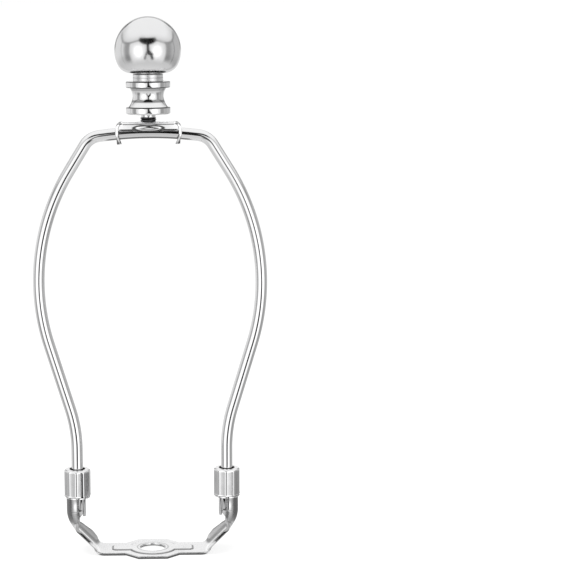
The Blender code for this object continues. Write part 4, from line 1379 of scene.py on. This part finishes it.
class HARP_OT_finial(bpy.types.Operator):
    """Turn the finial's spool and its ball"""

    bl_idname = "lamp_harp.finial"
    bl_label = "Finial"

    lathe_steps = 144

    def execute(self, context):
        settings = context.scene.lamp_harp
        size = settings.finial
        colours = settings.colours
        top = size.waist_top + size.upper_flange
        bright = turned_plating("spool_plating", colours.bright, 0.08, 0.05, self.lines(size), top)
        satin = turned_plating("ball_plating", colours.satin, 0.14, 0.03)
        spool = turned("finial_spool", self.spool_profile(size), self.lathe_steps)
        dressed(cleaned(spool, bright), "finial_base", "finial")
        ball = turned("finial_globe", self.ball_profile(size), self.lathe_steps)
        dressed(cleaned(ball, satin), "finial_ball", "finial")
        return {"FINISHED"}

    def lines(self, size):
        """Height, half width and depth of the painted shade lines at the spool's steps and roots."""
        upper_top = size.waist_top + size.upper_flange
        return (
            (upper_top - 0.1 * MM, 0.28 * MM, 0.75),
            (size.waist_top + 0.1 * MM, 0.28 * MM, 0.75),
            (size.waist_top - 0.5 * MM, 0.9 * MM, 0.22),
            (size.bottom + size.lower_flange - 0.1 * MM, 0.28 * MM, 0.75),
            (size.bottom + size.lower_flange + 2.4 * MM, 0.7 * MM, 0.35),
            (upper_top + 1.4 * MM, 0.3 * MM, 0.15),
            (size.seat - 0.1 * MM, 0.3 * MM, 0.3),
        )

    def spool_profile(self, size):
        """Profile of the spool with its spigot and bore, top first."""
        low = size.bottom
        flange_top = low + size.lower_flange
        upper_top = size.waist_top + size.upper_flange
        edge = size.round_edge
        cone = size.bore * math.tan(math.radians(30.0))
        upper = [
            (0.0, size.seat + size.spigot_height),
            (size.spigot_radius, size.seat + size.spigot_height),
            (size.spigot_radius, size.seat),
            (size.neck_radius, size.seat),
            (size.neck_radius, upper_top),
            (size.flange_radius, upper_top),
            (size.flange_radius, size.waist_top),
            self.waist(size, flange_top, 0.0),
        ]
        lower = [
            self.waist(size, flange_top, 1.0),
            (size.flange_radius, flange_top),
            (size.flange_radius, low),
            (size.bore, low),
            (size.bore, low + size.bore_depth),
            (0.0, low + size.bore_depth + cone),
        ]
        loop = filleted(upper, [0.0, edge, 0.1 * MM, 0.15 * MM, 0.2 * MM, edge, edge, 0.0])
        loop += [self.waist(size, flange_top, i / 32) for i in range(1, 32)]
        loop += filleted(lower, [0.0, edge, 1.6 * edge, edge, 0.1 * MM, 0.0])
        return loop

    def waist(self, size, flange_top, t):
        """Point of the spool's hollow, from its upper root at 0 to its lower one at 1."""
        z = size.waist_top + (flange_top - size.waist_top) * t
        if t < size.upper_share:
            swell = size.upper_swell * (1.0 - t / size.upper_share) ** 2
        else:
            swell = size.lower_swell * ((t - size.upper_share) / (1.0 - size.upper_share)) ** 2
        return size.waist_radius + swell, z

    def ball_profile(self, size):
        """The ball, top first: rounded into its flat seat and bored for the spigot."""
        seat = size.seat + size.clearance
        socket = size.spigot_radius + size.clearance
        roof = size.seat + size.spigot_height + size.clearance
        foot_z = seat + size.foot_round
        drop = foot_z - size.ball_centre
        foot_x = math.sqrt((size.ball_radius - size.foot_round) ** 2 - drop**2)
        meet = math.atan2(drop, foot_x)
        profile = [(0.0, size.ball_centre + size.ball_radius)]
        profile += arc_points((0.0, size.ball_centre), size.ball_radius, QUARTER, meet, 64)[1:]
        profile += arc_points((foot_x, foot_z), size.foot_round, meet, -QUARTER, 16)[1:]
        rim = [profile[-1], (socket, seat), (socket, roof), (0.0, roof)]
        return profile[:-1] + filleted(rim, [0.0, 0.15 * MM, 0.1 * MM, 0.0])


class HARP_OT_stage(bpy.types.Operator):
    """Set the pale floor, the soft studio light and the camera"""

    bl_idname = "lamp_harp.stage"
    bl_label = "Stage"

    floor_drop = 0.05 * MM
    floor_tone = (0.9, 0.9, 0.9, 1.0)
    floor_roughness = 0.9
    floor_glow = 1.07
    glow_share = 0.75
    lamp_x = -0.15
    lamp_y = -0.25
    lamp_tilt = math.radians(-15.0)
    lamp_turn = math.radians(-9.0)
    sensor_width = 36.0

    def execute(self, context):
        size = context.scene.lamp_harp.stage
        self.floor(size)
        self.studio(context.scene)
        self.lamp(size)
        self.camera(context.scene, size)
        context.scene.view_settings.view_transform = "Standard"
        return {"FINISHED"}

    def floor(self, size):
        """A pale floor that shows white and keeps the harp's shadow."""
        work = bmesh.new()
        bmesh.ops.create_grid(work, x_segments=1, y_segments=1, size=0.5 * size.floor_size)
        floor = built("floor", work)
        floor.data.transform(Matrix.Translation((0.0, 0.0, -self.floor_drop)))
        floor.visible_glossy = False
        material = bpy.data.materials.new("pale_floor")
        material.use_nodes = True
        graph = Graph(material.node_tree)
        shader = material.node_tree.nodes["Principled BSDF"]
        shader.inputs["Base Color"].default_value = self.floor_tone
        shader.inputs["Roughness"].default_value = self.floor_roughness
        seen = graph.add("ShaderNodeLightPath", output="Is Camera Ray")
        glow = graph.add("ShaderNodeEmission", {}, {"Color": WHITE, "Strength": self.floor_glow})
        lit = Value(graph, shader.outputs["BSDF"])
        mixed = graph.add("ShaderNodeMixShader", {}, [seen * self.glow_share, lit, glow])
        output = material.node_tree.nodes["Material Output"]
        material.node_tree.links.new(mixed.link, output.inputs["Surface"])
        floor.data.materials.append(material)

    def studio(self, scene):
        """White room with soft panels and their dark joints, which only shiny metal sees."""
        world = bpy.data.worlds.new("studio")
        world.use_nodes = True
        scene.world = world
        graph = Graph(world.node_tree)
        direction = graph.add("ShaderNodeTexCoord", output="Generated")
        x, y, z = graph.split(direction)
        azimuth = x.math("ARCTAN2", y * -1.0) * math.degrees(1.0)
        height = z.math("ARCSINE") * math.degrees(1.0)
        aside = abs(azimuth)
        tone = self.walls(azimuth, aside, height)
        tone = self.panels(aside, height, tone)
        tone = self.ceiling(aside, height, tone)
        tone = self.far_side(aside, height, tone)
        tone = self.joint(azimuth, height, tone)
        shiny = graph.add("ShaderNodeLightPath", output="Is Glossy Ray")
        strength = 1.0 - shiny + tone**DISPLAY_GAMMA * shiny
        background = world.node_tree.nodes["Background"]
        background.inputs["Color"].default_value = WHITE
        world.node_tree.links.new(strength.link, background.inputs["Strength"])

    def walls(self, azimuth, aside, height):
        """Side walls, the room behind the harp and the table below it, as shades of grey."""
        low = height.step(-8.0, -22.0)
        right = azimuth.step(-20.0, 20.0)
        outer = aside.step(78.0, 100.0)
        tone = aside.step(60.0, 70.0, 0.95, 0.62) + outer * (0.28 - right * 0.16)
        tone = tone - low * (0.1 - right * 0.04)
        tone = tone - aside.band(103.0, 106.0, 2.0) * 0.2
        back = height.step(-8.0, 5.0, 0.88, 1.06)
        tone = tone.blended(back, aside.step(140.0, 156.0))
        table = height.step(-75.0, -30.0, 0.88, 0.82)
        front = aside.step(150.0, 130.0)
        return tone.blended(table, height.step(-24.0, -38.0) * front)

    def panels(self, aside, height, tone):
        """The two tall soft panels beside the camera, brightest in their middle."""
        lit = aside.band(6.0, 62.0, 8.0) * height.band(-36.0, 25.0, 10.0)
        glow = aside.band(20.0, 46.0, 14.0) * height.band(-20.0, 12.0, 14.0)
        return tone.blended(0.93 + glow * 0.35, lit)

    def ceiling(self, aside, height, tone):
        """The wide overhead panel, its seam, and the dark corner over the panels' gap."""
        edge = aside.step(18.0, 84.0, 36.0, 19.0)
        edge = edge + aside.step(92.0, 128.0, 0.0, 7.0)
        edge = edge - aside.step(135.0, 160.0, 0.0, 16.0)
        above = height - edge
        over = above.step(0.0, 24.0, 0.88, 0.99)
        low = height.step(32.0, 22.0)
        over = over + aside.step(130.0, 165.0) * low * 0.06
        tone = tone.blended(over, above.step(-2.0, 3.0))
        seam = above.band(-4.0, 0.5, 3.0) * aside.step(150.0, 120.0)
        tone = tone.blended(0.58, seam)
        half = height.step(14.0, 32.0, 3.0, 28.0)
        corner = (aside - half).step(12.0, -4.0) * height.band(20.0, 41.0, 4.0)
        return tone.blended(0.06, corner)

    def far_side(self, aside, height, tone):
        """The darker far wall that outlines the round pieces."""
        rim = aside.band(147.0, 161.0, 4.0) * height.band(-1.0, 30.0, 3.0)
        crown = height.band(23.0, 34.0, 3.0) * aside.step(147.0, 158.0)
        return tone - rim * 0.42 - crown * 0.28

    def joint(self, azimuth, height, tone):
        """The dark gap between the panels: it parts into two legs below the horizon."""
        rows = height.band(-32.0, 30.0, 3.0)
        right = height.step(-32.0, 6.0, 17.0, 1.5)
        left = height.step(-32.0, 2.0, -11.0, 0.0)
        inside = abs(azimuth - left).step(6.0, 1.0) * rows
        tone = tone.blended(0.45, inside)
        half = height.step(-14.0, 0.0, 12.0, 6.0) - height.step(-12.0, -20.0, 0.0, 5.0)
        inside = (abs(azimuth - right) - half).step(0.0, -4.5) * rows
        return tone.blended(height.step(-19.0, -14.0, 0.25, 0.1), inside)

    def lamp(self, size):
        """One soft lamp from above that gives the floor its shadow."""
        light = bpy.data.lights.new("soft_lamp", "AREA")
        light.shape = "SQUARE"
        light.size = size.lamp_size
        light.energy = size.lamp_power
        item = linked("soft_lamp", light)
        item.location = (self.lamp_x, self.lamp_y, size.lamp_height)
        item.rotation_euler = (self.lamp_tilt, self.lamp_turn, 0.0)
        item.visible_glossy = False

    def camera(self, scene, size):
        data = bpy.data.cameras.new("camera")
        data.sensor_width = self.sensor_width
        data.lens = size.lens
        data.shift_x = size.shift
        camera = linked("camera", data)
        turn = Matrix.Rotation(QUARTER - size.camera_pitch, 4, "X")
        turn = turn @ Matrix.Rotation(size.camera_roll, 4, "Z")
        place = Matrix.Translation((0.0, -size.camera_distance, size.camera_height))
        camera.matrix_world = place @ turn
        scene.camera = camera


class HARP_PT_panel(bpy.types.Panel):
    bl_idname = "HARP_PT_panel"
    bl_label = "Lamp harp"
    bl_space_type = "VIEW_3D"
    bl_region_type = "UI"
    bl_category = "Lamp harp"

    def draw(self, context):
        settings = context.scene.lamp_harp
        for operator, group in PANEL_ROWS:
            box = self.layout.box()
            box.operator(operator.bl_idname)
            sizes = getattr(settings, group)
            for name in sizes.__annotations__:
                box.prop(sizes, name)


OPERATORS = (
    HARP_OT_wire,
    HARP_OT_saddle,
    HARP_OT_ferrules,
    HARP_OT_clip,
    HARP_OT_stud,
    HARP_OT_finial,
    HARP_OT_stage,
)
PANEL_ROWS = tuple(zip(OPERATORS, ("wire", "saddle", "ferrule", "clip", "stud", "finial", "stage")))
CLASSES = (
    WireSizes,
    SaddleSizes,
    FerruleSizes,
    ClipSizes,
    StudSizes,
    FinialSizes,
    FinishColours,
    StageSizes,
    LampHarpSettings,
    *OPERATORS,
    HARP_PT_panel,
)


def register():
    for item in CLASSES:
        bpy.utils.register_class(item)
    bpy.types.Scene.lamp_harp = PointerProperty(type=LampHarpSettings)


def unregister():
    del bpy.types.Scene.lamp_harp
    for item in reversed(CLASSES):
        bpy.utils.unregister_class(item)


def main():
    register()
    bpy.ops.lamp_harp.wire()
    bpy.ops.lamp_harp.saddle()
    bpy.ops.lamp_harp.ferrules()
    bpy.ops.lamp_harp.clip()
    bpy.ops.lamp_harp.stud()
    bpy.ops.lamp_harp.finial()
    bpy.ops.lamp_harp.stage()


if __name__ == "__main__":
    main()
